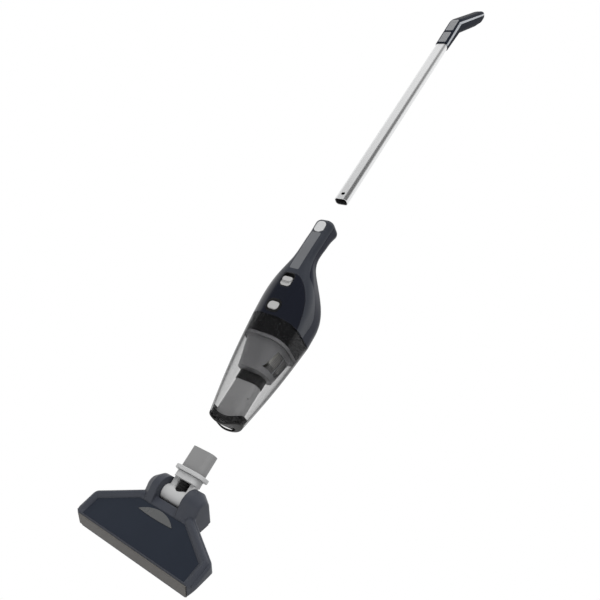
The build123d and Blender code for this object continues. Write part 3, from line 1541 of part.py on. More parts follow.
def hump_pair(inset, bottom):
    """The two round humps that carry the hinge, their outer flanks leaning in, run down to the sole."""
    flank = HUMP_OUT - HUMP_FLANK
    ramp = -COVER_BACK - HUMP_RAMP
    with BuildPart() as humps:
        for side in (-1, 1):
            for start, length, lean in (
                (HUMP_IN + inset, flank - HUMP_IN - inset, 0),
                (flank, HUMP_FLANK - inset, HUMP_LEAN),
            ):
                with BuildSketch(HEAD_SIDE.offset(side * start)):
                    with BuildLine() as rim:
                        CenterArc((0, 0), HUMP_RADIUS - inset, 0, 360)
                        Line((ramp + inset, slope_height(ramp, 1 + inset)), (ramp + inset, bottom))
                        Line((ramp + inset, bottom), (HUMP_RADIUS - inset, bottom))
                    make_hull(rim.edges())
                extrude(amount=side * length, taper=lean)
        if not inset:
            ends = humps.faces().sort_by(Axis.X)[0].edges() + humps.faces().sort_by(Axis.X)[-1].edges()
            # The four lowest edges, two a hump, stay sharp where they meet the sole
            fillet(ends.sort_by(HEAD_UP)[4:], HUMP_ROUND)
    return humps.part


def head_form(inset, bottom):
    """Outside of the head cover, or its inside when an inset is given."""
    with BuildPart() as form:
        extrude(head_plan(inset, bottom), amount=CREST_HEIGHT + HINGE_HEIGHT)
        add(above_slope(2 * inset), mode=Mode.SUBTRACT)
        fillet(form.faces().sort_by(HEAD_UP)[-1].edges(), COVER_EDGE - inset)
        add(end_wedges(inset, SOLE), mode=Mode.SUBTRACT)
        add(hump_pair(inset, bottom))
    return form.part


COVER_FOOT = SOLE + 1.5
head_outer = head_form(0, COVER_FOOT)
head_inner = head_form(COVER_WALL, SOLE - 5)



BOSS_SPOTS = ((-78.0, -44.0), (-20.0, -30.0), (20.0, -30.0), (78.0, -44.0))


def panel_prism(margin):
    """Plan of the recessed panel, run up through the cover."""
    with BuildPart() as prism:
        extrude(head_plan(RIM + margin, SOLE), amount=FAR)
        extrude(
            head_plan(RIM + margin, SOLE).moved(Location(HEAD.y_dir * (BUMPER_THICK - RIM))),
            amount=FAR,
        )
    return prism.part


with BuildPart() as recess_form:
    add(panel_prism(0))
    add(above_slope(PANEL_DEPTH), mode=Mode.INTERSECT)


def bumper_form(margin):
    """Rounded strip let into the front of the head."""
    with BuildPart() as strip:
        with BuildSketch(HEAD_SIDE):
            with Locations((BUMPER_THICK / 2 - HEAD_FRONT, SOLE + (BUMPER_TOP + BUMPER_FOOT) / 2)):
                RectangleRounded(
                    BUMPER_THICK + 2 * margin,
                    BUMPER_TOP - BUMPER_FOOT + 2 * margin,
                    BUMPER_THICK / 2 - 0.1,
                )
        extrude(amount=HEAD_WIDTH / 2 - PLAN_CORNER + margin, both=True)
    return strip.part


with BuildPart() as head_cover:
    add(head_outer)
    add(head_inner, mode=Mode.SUBTRACT)
    add(recess_form.part, mode=Mode.SUBTRACT)
    add(bumper_form(SEAM / 2), mode=Mode.SUBTRACT)
    with BuildSketch(HEAD.offset(COVER_FOOT)):
        with Locations((0, (BRIDGE_BACK - COVER_BACK) / 2)):
            Rectangle(2 * HUMP_IN + COVER_WALL, COVER_BACK + BRIDGE_BACK)
    extrude(amount=BRIDGE_THICK)
    for u, v in BOSS_SPOTS:
        with BuildSketch(HEAD.offset(SOLE + BASE_THICK + SEAM)):
            with Locations((u, v)):
                Circle(SCREW_RADIUS + 1)
                Circle(SCREW_SHANK + SEAM / 2, mode=Mode.SUBTRACT)
        extrude(amount=slope_height(v, COVER_WALL + PANEL_THICK) - SOLE - BASE_THICK)
    for side in (-1, 1):
        with BuildSketch(HEAD_SIDE.offset(side * HUMP_IN)):
            Circle(PIN_RADIUS + PIN_FIT)
        extrude(amount=COVER_WALL + 1, both=True, mode=Mode.SUBTRACT)
head_cover.part.label = "head_cover"
export_step(head_cover.part, "parts/head_cover.step")

with BuildPart() as head_panel:
    add(panel_prism(SEAM))
    add(above_slope(PANEL_DEPTH - SEAM / 2), mode=Mode.INTERSECT)
    add(above_slope(PANEL_DEPTH - PANEL_THICK - SEAM / 2), mode=Mode.SUBTRACT)
head_panel.part.label = "head_panel"
export_step(head_panel.part, "parts/head_panel.step")

with BuildPart() as head_bumper:
    add(bumper_form(0))
head_bumper.part.label = "head_bumper"
export_step(head_bumper.part, "parts/head_bumper.step")

WINDOW_BACK = -COVER_BACK - RIM - 2

with BuildPart() as head_window:
    with BuildSketch(HEAD.offset(SOLE)):
        with BuildLine():
            arch = ThreePointArc(
                (-WINDOW_WIDTH / 2, WINDOW_BACK - WINDOW_HEIGHT),
                (0, WINDOW_BACK),
                (WINDOW_WIDTH / 2, WINDOW_BACK - WINDOW_HEIGHT),
            )
            ThreePointArc(arch @ 0, (0, WINDOW_BACK - WINDOW_HEIGHT - 1.5), arch @ 1)
        make_face()
    extrude(amount=FAR)
    add(above_slope(PANEL_DEPTH - PANEL_THICK - SEAM), mode=Mode.INTERSECT)
    add(above_slope(PANEL_DEPTH - PANEL_THICK - SEAM - WINDOW_PROUD), mode=Mode.SUBTRACT)
head_window.part.label = "head_window"
export_step(head_window.part, "parts/head_window.step")

WHEEL_UP = SOLE - WHEEL_PROUD + WHEEL_RADIUS
ROLLER_UP = SOLE - FELT_PROUD + ROLLER_RADIUS
ROLLER_V = ROLLER_FROM_FRONT - HEAD_FRONT
SLOT_V = SLOT_FROM_FRONT - HEAD_FRONT
WELL_HALF = WHEEL_WIDTH / 2 + RUN_GAP
HUMP_ROOM = COVER_WALL + SEAM
TAIL_IN = HUMP_IN + HUMP_ROOM
TAIL_OUT = WHEEL_X + WELL_HALF + POST_WALL + SEAM
TAIL_BACK = HUMP_RADIUS - 3 * HUMP_ROOM
FELT_OUT = (SLOT_WIDTH + FELT_WIDTH) / 2 + 2

with BuildPart() as head_base:
    extrude(head_plan(HUMP_ROOM, SOLE), amount=BASE_THICK)
    for side in (-1, 1):
        with BuildSketch(HEAD.offset(SOLE)):
            with Locations((side * (TAIL_IN + TAIL_OUT) / 2, (TAIL_BACK - 2 * COVER_BACK) / 2)):
                Rectangle(TAIL_OUT - TAIL_IN, TAIL_BACK + 2 * COVER_BACK)
        extrude(amount=BASE_THICK)
    add(end_wedges(HUMP_ROOM, SOLE), mode=Mode.SUBTRACT)
    for side in (-1, 1):
        with BuildSketch(HEAD.offset(SOLE)):
            with Locations((side * WHEEL_X, WHEEL_BACK)):
                Rectangle(2 * (WELL_HALF + POST_WALL), 2 * AXLE_RADIUS + 2 * POST_WALL)
        extrude(amount=WHEEL_UP - SOLE + AXLE_RADIUS + POST_WALL)
    for side in (-1, 1):
        with BuildSketch(HEAD.offset(SOLE - 1)):
            with Locations((side * WHEEL_X, WHEEL_BACK)):
                Rectangle(2 * WELL_HALF, 2 * WHEEL_RADIUS + 2 * RUN_GAP)
            with Locations((side * ROLLER_X, ROLLER_V)):
                Rectangle(ROLLER_WIDTH + 2 * RUN_GAP, 2 * ROLLER_RADIUS + 2 * RUN_GAP)
        extrude(amount=FAR / 2, mode=Mode.SUBTRACT)
        with BuildSketch(HEAD_SIDE.offset(side * WHEEL_X)):
            with Locations((WHEEL_BACK, WHEEL_UP)):
                Circle(AXLE_RADIUS)
        extrude(amount=WELL_HALF + POST_WALL + 1, both=True, mode=Mode.SUBTRACT)
        with BuildSketch(HEAD_SIDE.offset(side * ROLLER_X)):
            with Locations((ROLLER_V, ROLLER_UP)):
                Circle(ROLLER_STUB + PIN_FIT)
        extrude(amount=ROLLER_WIDTH / 2 + ROLLER_STUB_REACH + RUN_GAP, both=True, mode=Mode.SUBTRACT)
    with BuildSketch(HEAD.offset(SOLE)):
        with Locations((0, SLOT_V)):
            SlotOverall(SLOT_LENGTH, SLOT_WIDTH)
        with Locations(*BOSS_SPOTS):
            Circle(SCREW_SHANK + SEAM / 2)
    extrude(amount=BASE_THICK, mode=Mode.SUBTRACT)
    with BuildSketch(HEAD.offset(SOLE)):
        with Locations((0, SLOT_V - FELT_OUT), (0, SLOT_V + FELT_OUT)):
            Rectangle(SLOT_LENGTH - SLOT_WIDTH + SEAM, FELT_WIDTH + SEAM)
        with Locations(*BOSS_SPOTS):
            Circle(SCREW_RADIUS + SEAM / 2)
    extrude(amount=FELT_LET_IN, mode=Mode.SUBTRACT)
head_base.part.label = "head_base"
export_step(head_base.part, "parts/head_base.step")

with BuildPart() as lint_strips:
    with BuildSketch(HEAD.offset(SOLE + FELT_LET_IN)):
        with Locations((0, SLOT_V - FELT_OUT), (0, SLOT_V + FELT_OUT)):
            Rectangle(SLOT_LENGTH - SLOT_WIDTH, FELT_WIDTH)
    extrude(amount=-FELT_LET_IN - FELT_PROUD)
lint_strips.part.label = "lint_strips"
export_step(lint_strips.part, "parts/lint_strips.step")

with BuildPart() as head_screws:
    for u, v in BOSS_SPOTS:
        with BuildSketch(HEAD.offset(SOLE + FELT_LET_IN)):
            with Locations((u, v)):
                Circle(SCREW_RADIUS)
        extrude(amount=-FELT_LET_IN / 2)
        with BuildSketch(HEAD.offset(SOLE + FELT_LET_IN)):
            with Locations((u, v)):
                Circle(SCREW_SHANK)
        extrude(amount=slope_height(v, COVER_WALL) - SOLE - FELT_LET_IN - 4)
head_screws.part.label = "head_screws"
export_step(head_screws.part, "parts/head_screws.step")

PIN_IN = HUMP_IN - PIN_BITE
with BuildPart() as hinge_pins:
    for side in (-1, 1):
        with BuildSketch(HEAD_SIDE.offset(side * PIN_IN)):
            Circle(PIN_RADIUS)
        extrude(amount=side * (PIN_BITE + COVER_WALL + PIN_HEAD))
        with BuildSketch(HEAD_SIDE.offset(side * (HUMP_IN + COVER_WALL + SEAM / 2))):
            Circle(PIN_RADIUS + PIN_HEAD)
        extrude(amount=side * PIN_HEAD)
hinge_pins.part.label = "hinge_pins"
export_step(hinge_pins.part, "parts/hinge_pins.step")

for side, name in ((-1, "left"), (1, "right")):
    with BuildPart() as rear_wheel:
        with BuildSketch(HEAD_SIDE.offset(side * WHEEL_X - WHEEL_WIDTH / 2)):
            with Locations((WHEEL_BACK, WHEEL_UP)):
                Circle(WHEEL_RADIUS)
        extrude(amount=WHEEL_WIDTH)
        fillet(rear_wheel.edges(), WHEEL_ROUND)
        with BuildSketch(HEAD_SIDE.offset(side * WHEEL_X - WHEEL_WIDTH / 2)):
            with Locations((WHEEL_BACK, WHEEL_UP)):
                Circle(AXLE_RADIUS + PIN_FIT)
        extrude(amount=WHEEL_WIDTH, mode=Mode.SUBTRACT)
    rear_wheel.part.label = f"rear_wheel_{name}"
    export_step(rear_wheel.part, f"parts/rear_wheel_{name}.step")

    with BuildPart() as front_roller:
        with BuildSketch(HEAD_SIDE.offset(side * ROLLER_X)):
            with Locations((ROLLER_V, ROLLER_UP)):
                Circle(ROLLER_RADIUS)
        extrude(amount=ROLLER_WIDTH / 2, both=True)
        with BuildSketch(HEAD_SIDE.offset(side * ROLLER_X)):
            with Locations((ROLLER_V, ROLLER_UP)):
                Circle(ROLLER_STUB)
        extrude(amount=ROLLER_WIDTH / 2 + ROLLER_STUB_REACH, both=True)
    front_roller.part.label = f"front_roller_{name}"
    export_step(front_roller.part, f"parts/front_roller_{name}.step")

with BuildPart() as wheel_axles:
    for side in (-1, 1):
        with BuildSketch(HEAD_SIDE.offset(side * WHEEL_X)):
            with Locations((WHEEL_BACK, WHEEL_UP)):
                Circle(AXLE_RADIUS)
        extrude(amount=WELL_HALF + POST_WALL, both=True)
wheel_axles.part.label = "wheel_axles"
export_step(wheel_axles.part, "parts/wheel_axles.step")
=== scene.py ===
from math import pi, sin

import bmesh
import bpy
from mathutils import Matrix, Vector


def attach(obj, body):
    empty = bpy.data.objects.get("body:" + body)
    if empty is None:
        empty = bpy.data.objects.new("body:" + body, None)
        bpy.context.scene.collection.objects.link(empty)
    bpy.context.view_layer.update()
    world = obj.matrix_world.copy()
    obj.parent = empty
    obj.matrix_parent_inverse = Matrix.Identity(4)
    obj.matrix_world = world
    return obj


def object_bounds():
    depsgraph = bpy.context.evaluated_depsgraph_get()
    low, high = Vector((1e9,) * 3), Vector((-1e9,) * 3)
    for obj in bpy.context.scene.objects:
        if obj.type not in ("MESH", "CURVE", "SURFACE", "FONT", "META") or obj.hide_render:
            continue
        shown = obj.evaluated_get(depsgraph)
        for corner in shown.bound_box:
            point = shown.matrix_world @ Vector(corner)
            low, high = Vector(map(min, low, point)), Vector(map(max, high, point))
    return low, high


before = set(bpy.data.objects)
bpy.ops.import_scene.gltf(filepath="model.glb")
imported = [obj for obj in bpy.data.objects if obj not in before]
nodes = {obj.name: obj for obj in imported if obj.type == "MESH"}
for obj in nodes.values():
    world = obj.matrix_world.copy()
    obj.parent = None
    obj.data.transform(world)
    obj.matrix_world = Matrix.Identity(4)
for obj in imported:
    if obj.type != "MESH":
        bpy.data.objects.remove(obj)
cad_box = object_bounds()

# Wand tube: aluminium drawn to a flat oval and satin anodised, so fine lines run along it.
# A dark plastic liner is pushed into its open end and guides it into the hand unit's socket.


def place_node(tree, kind, settings, sockets, output):
    """Any node: its settings first, then the values or links of its sockets."""
    node = tree.nodes.new(kind)
    for name, value in settings.items():
        setattr(node, name, value)
    for name, value in sockets.items():
        feed(tree, node.inputs[name], value)
    return Value(tree, node.outputs[output])


def feed(tree, socket, value):
    """Links a value or several into a socket, or writes a plain number or colour there."""
    if isinstance(value, list):
        for part in value:
            tree.links.new(part.socket, socket)
    elif isinstance(value, Value):
        tree.links.new(value.socket, socket)
    else:
        socket.default_value = value


class Value:
    """One output socket; arithmetic on it adds Math nodes to its tree."""

    def __init__(self, tree, socket):
        self.tree = tree
        self.socket = socket

    def math(self, operation, first, second):
        """Result of one Math node on two values or numbers."""
        return place_node(self.tree, "ShaderNodeMath", {"operation": operation}, {0: first, 1: second}, 0)

    def __add__(self, other):
        return self.math("ADD", self, other)

    def __radd__(self, other):
        return self.math("ADD", other, self)

    def __sub__(self, other):
        return self.math("SUBTRACT", self, other)

    def __rsub__(self, other):
        return self.math("SUBTRACT", other, self)

    def __mul__(self, other):
        return self.math("MULTIPLY", self, other)

    def __rmul__(self, other):
        return self.math("MULTIPLY", other, self)

    def __pow__(self, other):
        return self.math("POWER", self, other)


class Finish:
    """A Principled material and the nodes that vary it over a piece."""

    def __init__(self, name, **sockets):
        self.material = bpy.data.materials.new(name)
        self.material.use_nodes = True
        self.tree = self.material.node_tree
        self.shader = self.tree.nodes["Principled BSDF"]
        for socket, value in sockets.items():
            self.shader.inputs[socket.replace("_", " ")].default_value = value

    def node(self, kind, settings, sockets, output=0):
        """Any shader node of this material."""
        return place_node(self.tree, "ShaderNode" + kind, settings, sockets, output)

    def noise(self, scale, detail=2.0, stretch=(1, 1, 1)):
        """Noise from 0 to 1 on Object coordinates, drawn out per axis."""
        here = self.node("TexCoord", {}, {}, "Object")
        spread = self.node("Mapping", {}, {"Vector": here, "Scale": stretch})
        return self.node("TexNoise", {}, {"Vector": spread, "Scale": scale, "Detail": detail}, "Fac")

    def mixed(self, share, low, high):
        """Colour between two others."""
        return self.node("Mix", {"data_type": "RGBA"}, {0: share, 6: low, 7: high}, 2)

    def set(self, socket, value):
        """Feeds one of the Principled shader's sockets."""
        feed(self.tree, self.shader.inputs[socket], value)

    def surface(self, height, depth, strength, round_edge):
        """Normal from a bump depth in metres, over edges broken by a small radius."""
        edge_samples = 6
        soft = self.node("Bevel", {"samples": edge_samples}, {"Radius": round_edge})
        sockets = {"Height": height, "Distance": depth, "Strength": strength, "Normal": soft}
        self.set("Normal", self.node("Bump", {}, sockets))


def coat(material, *names):
    """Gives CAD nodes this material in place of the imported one."""
    for name in names:
        mesh = nodes[name].data
        mesh.materials.clear()
        mesh.materials.append(material)


def shade(colour, by):
    """A colour made darker or lighter, with its alpha."""
    return tuple(min(part * by, 1.0) for part in colour) + (1.0,)


def moulded(name, colour, roughness, grain=1500.0, depth=0.000010, cloud=0.08, edge=0.0006, **sockets):
    """Injection-moulded plastic: spark-eroded grain, faint clouding, rubbed patches, broken edges."""
    plain_gloss = 0.3
    cloud_scale = 22.0
    rub_scale = 70.0
    rub_stretch = (1, 1, 0.35)
    rub_range = 0.14
    grain_strength = 0.5
    finish = Finish(name, **{"Specular_IOR_Level": plain_gloss, **sockets})
    clouding = finish.noise(cloud_scale, 3.0)
    finish.set("Base Color", finish.mixed(clouding, shade(colour, 1 - cloud), shade(colour, 1 + cloud)))
    rubbed = finish.noise(rub_scale, 4.0, rub_stretch)
    finish.set("Roughness", rubbed * rub_range + (roughness - rub_range / 2))
    finish.surface(finish.noise(grain, 1.0), depth, grain_strength, edge)
    return finish.material


ALLOY_DULL = (0.74, 0.745, 0.75, 1)
ALLOY_BRIGHT = (0.86, 0.863, 0.866, 1)
ALLOY_ROUGH = 0.24
LINE_SCALE = 420.0
LINE_STRETCH = (1, 1, 0.01)
LINE_ROUGH = 0.05
PATCH_SCALE = 14.0
PATCH_ROUGH = 0.06
drawn_alloy = Finish("drawn_alloy", Metallic=1.0)
lines = drawn_alloy.noise(LINE_SCALE, 2.0, LINE_STRETCH)
patches = drawn_alloy.noise(PATCH_SCALE, 3.0)
drawn_alloy.set("Base Color", drawn_alloy.mixed(lines, ALLOY_DULL, ALLOY_BRIGHT))
drawn_alloy.set("Roughness", lines * LINE_ROUGH + patches * PATCH_ROUGH + ALLOY_ROUGH)
coat(drawn_alloy.material, "wand_tube")
liner_black = moulded("liner_black", (0.020, 0.020, 0.022), 0.5)
coat(liner_black, "tube_liner")

# Wand handle: two half shells moulded in dark plastic and screwed together from behind.
# They close round a silver middle band that shows as a bright line from the tube to the tip.
charcoal = moulded("charcoal_plastic", (0.032, 0.036, 0.046), 0.42)
navy_shell = moulded("navy_satin", (0.0090, 0.0115, 0.0215), 0.34, 2000.0, 0.000004, Specular_IOR_Level=0.1)
handle_navy = moulded(
    "handle_navy", (0.0120, 0.0150, 0.0240), 0.50, 1800.0, 0.000006, Specular_IOR_Level=0.03
)
silver_band = moulded("silver_satin", (0.44, 0.46, 0.49), 0.34, 2600.0, 0.000002, 0.04, Metallic=0.4)
ZINC_DULL = (0.42, 0.42, 0.43, 1)
ZINC_BRIGHT = (0.62, 0.62, 0.61, 1)
ZINC_ROUGH = 0.25
SPANGLE_SCALE = 260.0
SPANGLE_DEPTH = 0.00001
SPANGLE_STRENGTH = 0.3
SPECK_SCALE = 600.0
SPECK_ROUGH = 0.2
STEEL_EDGE = 0.0003
zinc_steel = Finish("zinc_steel", Metallic=1.0)
spangle = zinc_steel.noise(SPANGLE_SCALE, 3.0)
zinc_steel.set("Base Color", zinc_steel.mixed(spangle, ZINC_DULL, ZINC_BRIGHT))
zinc_steel.set("Roughness", zinc_steel.noise(SPECK_SCALE) * SPECK_ROUGH + ZINC_ROUGH)
zinc_steel.surface(spangle, SPANGLE_DEPTH, SPANGLE_STRENGTH, STEEL_EDGE)
coat(handle_navy, "wand_handle_front", "wand_handle_rear")
coat(silver_band, "wand_handle_trim")
coat(zinc_steel.material, "wand_screws")


class Pattern:
    """A Geometry Nodes tree that repeats a small form; its sizes are named inputs."""

    def __init__(self, name, **sizes):
        self.tree = bpy.data.node_groups.new(name, "GeometryNodeTree")
        self.sizes = sizes
        ways = self.tree.interface
        ways.new_socket("base", in_out="INPUT", socket_type="NodeSocketGeometry")
        for size, value in sizes.items():
            kind = "NodeSocketInt" if isinstance(value, int) else "NodeSocketFloat"
            ways.new_socket(size, in_out="INPUT", socket_type=kind)
        ways.new_socket("grown", in_out="OUTPUT", socket_type="NodeSocketGeometry")
        self.entry = self.tree.nodes.new("NodeGroupInput")
        self.end = self.tree.nodes.new("NodeGroupOutput")

    def size(self, name):
        """One of the named inputs."""
        return Value(self.tree, self.entry.outputs[name])

    def node(self, kind, settings, sockets, output=0):
        """Any node of this tree."""
        return place_node(self.tree, kind, settings, sockets, output)

    def vector(self, x, y, z):
        """A vector of three values or numbers."""
        return self.node("ShaderNodeCombineXYZ", {}, {"X": x, "Y": y, "Z": z})

    def close(self, instances, material):
        """Ends the tree in a real mesh with its material."""
        real = self.node("GeometryNodeRealizeInstances", {}, {"Geometry": instances})
        coated = self.node("GeometryNodeSetMaterial", {}, {"Geometry": real, "Material": material})
        self.tree.links.new(coated.socket, self.end.inputs["grown"])

    def grow(self, name, base, **changed):
        """Runs the tree on a base mesh and gives a plain mesh object at the origin."""
        piece = bpy.data.objects.new(name, base)
        bpy.context.scene.collection.objects.link(piece)
        maker = piece.modifiers.new(name, "NODES")
        maker.node_group = self.tree
        for socket in self.tree.interface.items_tree:
            if socket.in_out == "INPUT" and socket.name in self.sizes:
                maker[socket.identifier] = changed.get(socket.name, self.sizes[socket.name])
        graph = bpy.context.evaluated_depsgraph_get()
        mesh = bpy.data.meshes.new_from_object(piece.evaluated_get(graph))
        piece.modifiers.clear()
        piece.data = mesh
        return piece


RECESS_LENGTH = 0.0030
RECESS_WIDTH = 0.0009
RECESS_PROUD = 0.00006
HEAD_FACE_HALF = 0.001
# Cross recesses: flat near-black crosses laid on the screw heads, painted shade standing for the hollow of
# each recess.
recess_painted_shade = moulded("recess_painted_shade", (0.004, 0.004, 0.004), 0.6)
cross_recess = Pattern("cross_recess", length=RECESS_LENGTH, width=RECESS_WIDTH, proud=RECESS_PROUD)
flat = cross_recess.size("proud") * 2.0
bar_up = cross_recess.node(
    "GeometryNodeMeshCube",
    {},
    {"Size": cross_recess.vector(cross_recess.size("length"), cross_recess.size("width"), flat)},
)
bar_across = cross_recess.node(
    "GeometryNodeMeshCube",
    {},
    {"Size": cross_recess.vector(cross_recess.size("width"), cross_recess.size("length"), flat)},
)
cross = cross_recess.node("GeometryNodeJoinGeometry", {}, {"Geometry": [bar_up, bar_across]})
facing_out = cross_recess.node("GeometryNodeInputNormal", {}, {})
with_way = cross_recess.node(
    "GeometryNodeStoreNamedAttribute",
    {"data_type": "FLOAT_VECTOR", "domain": "FACE"},
    {"Geometry": cross_recess.size("base"), "Name": "way", "Value": facing_out},
)
spots = cross_recess.node("GeometryNodeMeshToPoints", {"mode": "FACES"}, {"Mesh": with_way})
way = cross_recess.node("GeometryNodeInputNamedAttribute", {"data_type": "FLOAT_VECTOR"}, {"Name": "way"})
turn = cross_recess.node("FunctionNodeAlignRotationToVector", {"axis": "Z"}, {"Vector": way})
crosses = cross_recess.node(
    "GeometryNodeInstanceOnPoints", {}, {"Points": spots, "Instance": cross, "Rotation": turn}
)
cross_recess.close(crosses, recess_painted_shade)


def head_faces(spots):
    """A small square on each screw head, looking out along the screw."""
    mesh = bpy.data.meshes.new("head_faces")
    square = ((-1, -1), (1, -1), (1, 1), (-1, 1))
    corners = []
    for place, out in spots:
        out = Vector(out).normalized()
        side = out.orthogonal().normalized()
        up = out.cross(side)
        corners += [Vector(place) + (side * a + up * b) * HEAD_FACE_HALF for a, b in square]
    mesh.from_pydata(corners, [], [range(4 * n, 4 * n + 4) for n in range(len(spots))])
    return mesh


# Each screw: the middle of its head, and the way it looks
WAND_SCREWS = (
    ((0, 0.0135, -0.0230), (0, 1, 0)),
    ((0, 0.05504, 0.09043), (0, 0.9135, -0.4067)),
)
wand_crosses = cross_recess.grow("wand_screw_crosses", head_faces(WAND_SCREWS))
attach(wand_crosses, "wand")

# Wand inlays: pale strips pressed into the front of the handle below the bend, in two lengths
# with a dark break, and a soft rubber pad along the grip for the fingers.
inlay_grey = moulded("wand_inlay_grey", (0.235, 0.240, 0.250), 0.42, 1800.0, 0.000006, 0.05)
grip_rubber = moulded("grip_rubber", (0.020, 0.022, 0.027), 0.66, 900.0, 0.00002)
coat(inlay_grey, "wand_inlay_lower", "wand_inlay_upper")
coat(grip_rubber, "wand_grip_pad")

# Hand unit housings: a charcoal front frame and a navy rear shell, moulded in satin plastic
# and drawn together by three screws; slots at the back let the exhaust air out.
coat(charcoal, "housing_front")
coat(navy_shell, "housing_rear")
coat(zinc_steel.material, "housing_screws")
HOUSING_SCREWS = (
    ((-0.0445, 0.072, -0.859), (0, 1, 0)),
    ((0.0445, 0.072, -0.859), (0, 1, 0)),
    ((0, 0.012, -0.715), (0, 1, 0)),
)
housing_crosses = cross_recess.grow("housing_screw_crosses", head_faces(HOUSING_SCREWS))
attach(housing_crosses, "hand_unit")

# Front cover: a high-gloss navy moulding with a clear coat, snapped over the belly so that
# the frame shows beside it; it has openings for the switch and the bowl release.
cover_gloss = moulded(
    "cover_gloss", (0.0075, 0.0092, 0.0160), 0.20, 2600.0, 0.000002, 0.05, 0.0010, Specular_IOR_Level=0.4
)
coat(cover_gloss, "front_cover")

# Handle inlay and latch: a grey strip set into the front of the handle, and above it the
# pale button that lets go of the wand tube.
strip_grey = moulded("strip_grey", (0.140, 0.145, 0.155), 0.46)
latch_pale = moulded("latch_pale", (0.57, 0.575, 0.58), 0.36, 2200.0, 0.000004, 0.03, 0.0007)
coat(strip_grey, "handle_inlay")
coat(latch_pale, "latch_button")

# Power switch: a slider with a raised dome, moulded in pale plastic; its colour is the latch's pale made
# darker, as painted shade.
# It runs in a black well that is let into the front cover.
well_black = moulded("well_black", (0.0060, 0.0060, 0.0065), 0.40, 1800.0, 0.000006)
# The same pale plastic as the latch, made darker: painted shade.
button_pale_painted_shade = moulded("button_pale_painted_shade", (0.42, 0.42, 0.415), 0.36, 2200.0, 0.000004, 0.03, 0.0007)
coat(well_black, "switch_well")
coat(button_pale_painted_shade, "power_slider")

# Bowl release: a push button moulded in pale plastic, sitting in a black bezel in the cover; its colour is
# darkened the same way, as painted shade.
# A small coil spring of steel wire holds it out.
coat(well_black, "release_bezel")
coat(button_pale_painted_shade, "release_button")
coat(zinc_steel.material, "release_spring")

# Suction drive: grille plate, fan in its shroud and a steel-cased motor on a plastic frame,
# stacked above the bowl inside the belly.
frame_grey = moulded("drive_grey", (0.030, 0.030, 0.033), 0.5)
coat(well_black, "bulkhead", "fan")
coat(frame_grey, "fan_shroud", "motor_frame")
coat(zinc_steel.material, "motor", "motor_shaft")

# Electrics: printed board with a small push switch, two sleeved cells in a scalloped cradle,
# and the charging jack in the rear shell.
board_green = moulded("board_green", (0.012, 0.075, 0.030), 0.36)
cell_sleeve = moulded("cell_sleeve", (0.050, 0.120, 0.250), 0.34)
coat(board_green, "control_board")
coat(well_black, "micro_switch", "battery_cradle", "charge_jack")
coat(cell_sleeve, "battery_cells")

# Dust bowl: a clear shell moulded with a light smoke tint, a soft black lip round its mouth,
# and a black collar at the top that hooks on to the hand unit against a rubber seal.
SMOKE_DARK = (0.020, 0.020, 0.022, 1)
SMOKE_PALE = (0.034, 0.034, 0.036, 1)
SMOKE_ROUGH = 0.04
HAZE_SCALE = 35.0
HAZE_ROUGH = 0.05
FLAT_ON_TINT = 0.10
EDGE_TINT = 1.40
EDGE_POWER = 3.0
smoke_clear = Finish("smoke_clear", IOR=1.46, Specular_IOR_Level=0.06)
haze = smoke_clear.noise(HAZE_SCALE, 3.0)
smoke_clear.set("Base Color", smoke_clear.mixed(haze, SMOKE_DARK, SMOKE_PALE))
smoke_clear.set("Roughness", haze * HAZE_ROUGH + SMOKE_ROUGH)
turned_away = smoke_clear.node("LayerWeight", {}, {"Blend": 0.5}, "Facing")
smoke_clear.set("Alpha", turned_away ** EDGE_POWER * EDGE_TINT + FLAT_ON_TINT)
collar_black = moulded(
    "collar_black", (0.0030, 0.0032, 0.0035), 0.26, 2600.0, 0.000002, 0.05, Specular_IOR_Level=0.4
)
lip_black = moulded("lip_black", (0.0060, 0.0060, 0.0062), 0.30, 1600.0, 0.000002, edge=0.0010)
seal_rubber = moulded("seal_rubber", (0.0075, 0.0075, 0.0078), 0.68, 900.0, 0.00002)
coat(smoke_clear.material, "bowl_shell")
coat(lip_black, "nozzle_lip")
coat(collar_black, "bowl_collar")
coat(seal_rubber, "bowl_seal")

# Inlet duct: a grey moulded throat that leads the dust up into the bowl, with a knurled ring
# on its top and a rubber flap on a steel pin that shuts when the air stops.
duct_grey = moulded("duct_grey", (0.315, 0.315, 0.318), 0.36, 2000.0, 0.000005)
ring_dark = moulded("ring_dark", (0.018, 0.018, 0.018), 0.48)
coat(duct_grey, "inlet_duct")
coat(ring_dark, "duct_ring")
coat(seal_rubber, "inlet_flap")
coat(zinc_steel.material, "flap_pin")

# Filter: a basket with window frames, moulded in grey plastic and hung in the collar.
# A block of pleated paper is pushed into it.
filter_grey = moulded("filter_grey", (0.190, 0.190, 0.196), 0.44)
filter_paper = moulded("filter_paper", (0.62, 0.61, 0.57), 0.8, 1100.0, 0.00005)
coat(filter_grey, "filter_frame")
coat(filter_paper, "pleated_filter")

# Filter grille: fine ribs moulded across the basket's side windows, close enough to keep
# fluff off the paper; each rib follows the basket's tapered, rounded wall.
MOUTH_LEVEL = -1.073
BASKET_FOOT = 0.098
BASKET_TOP = 0.1577
RIB_LEVELS = 13
RIB_FIRST = 0.1095
RIB_PITCH = 0.0026
RIB_RADIUS = 0.0006
RIB_PIECES = 6
RIB_SIDES = 6
WINDOW_SPANS = ((0.0392, 0.0567), (0.0593, 0.0805))
WALL_MIDDLE = 0.0008
# Basket wall at its foot, and how much that changes up to its top
HALF_WIDTH = (0.033, 0.009)
FRONT_WALL = (0.036, -0.021)
BACK_WALL = (0.090, 0.011)
WALL_CORNER = (0.022, 0.008)


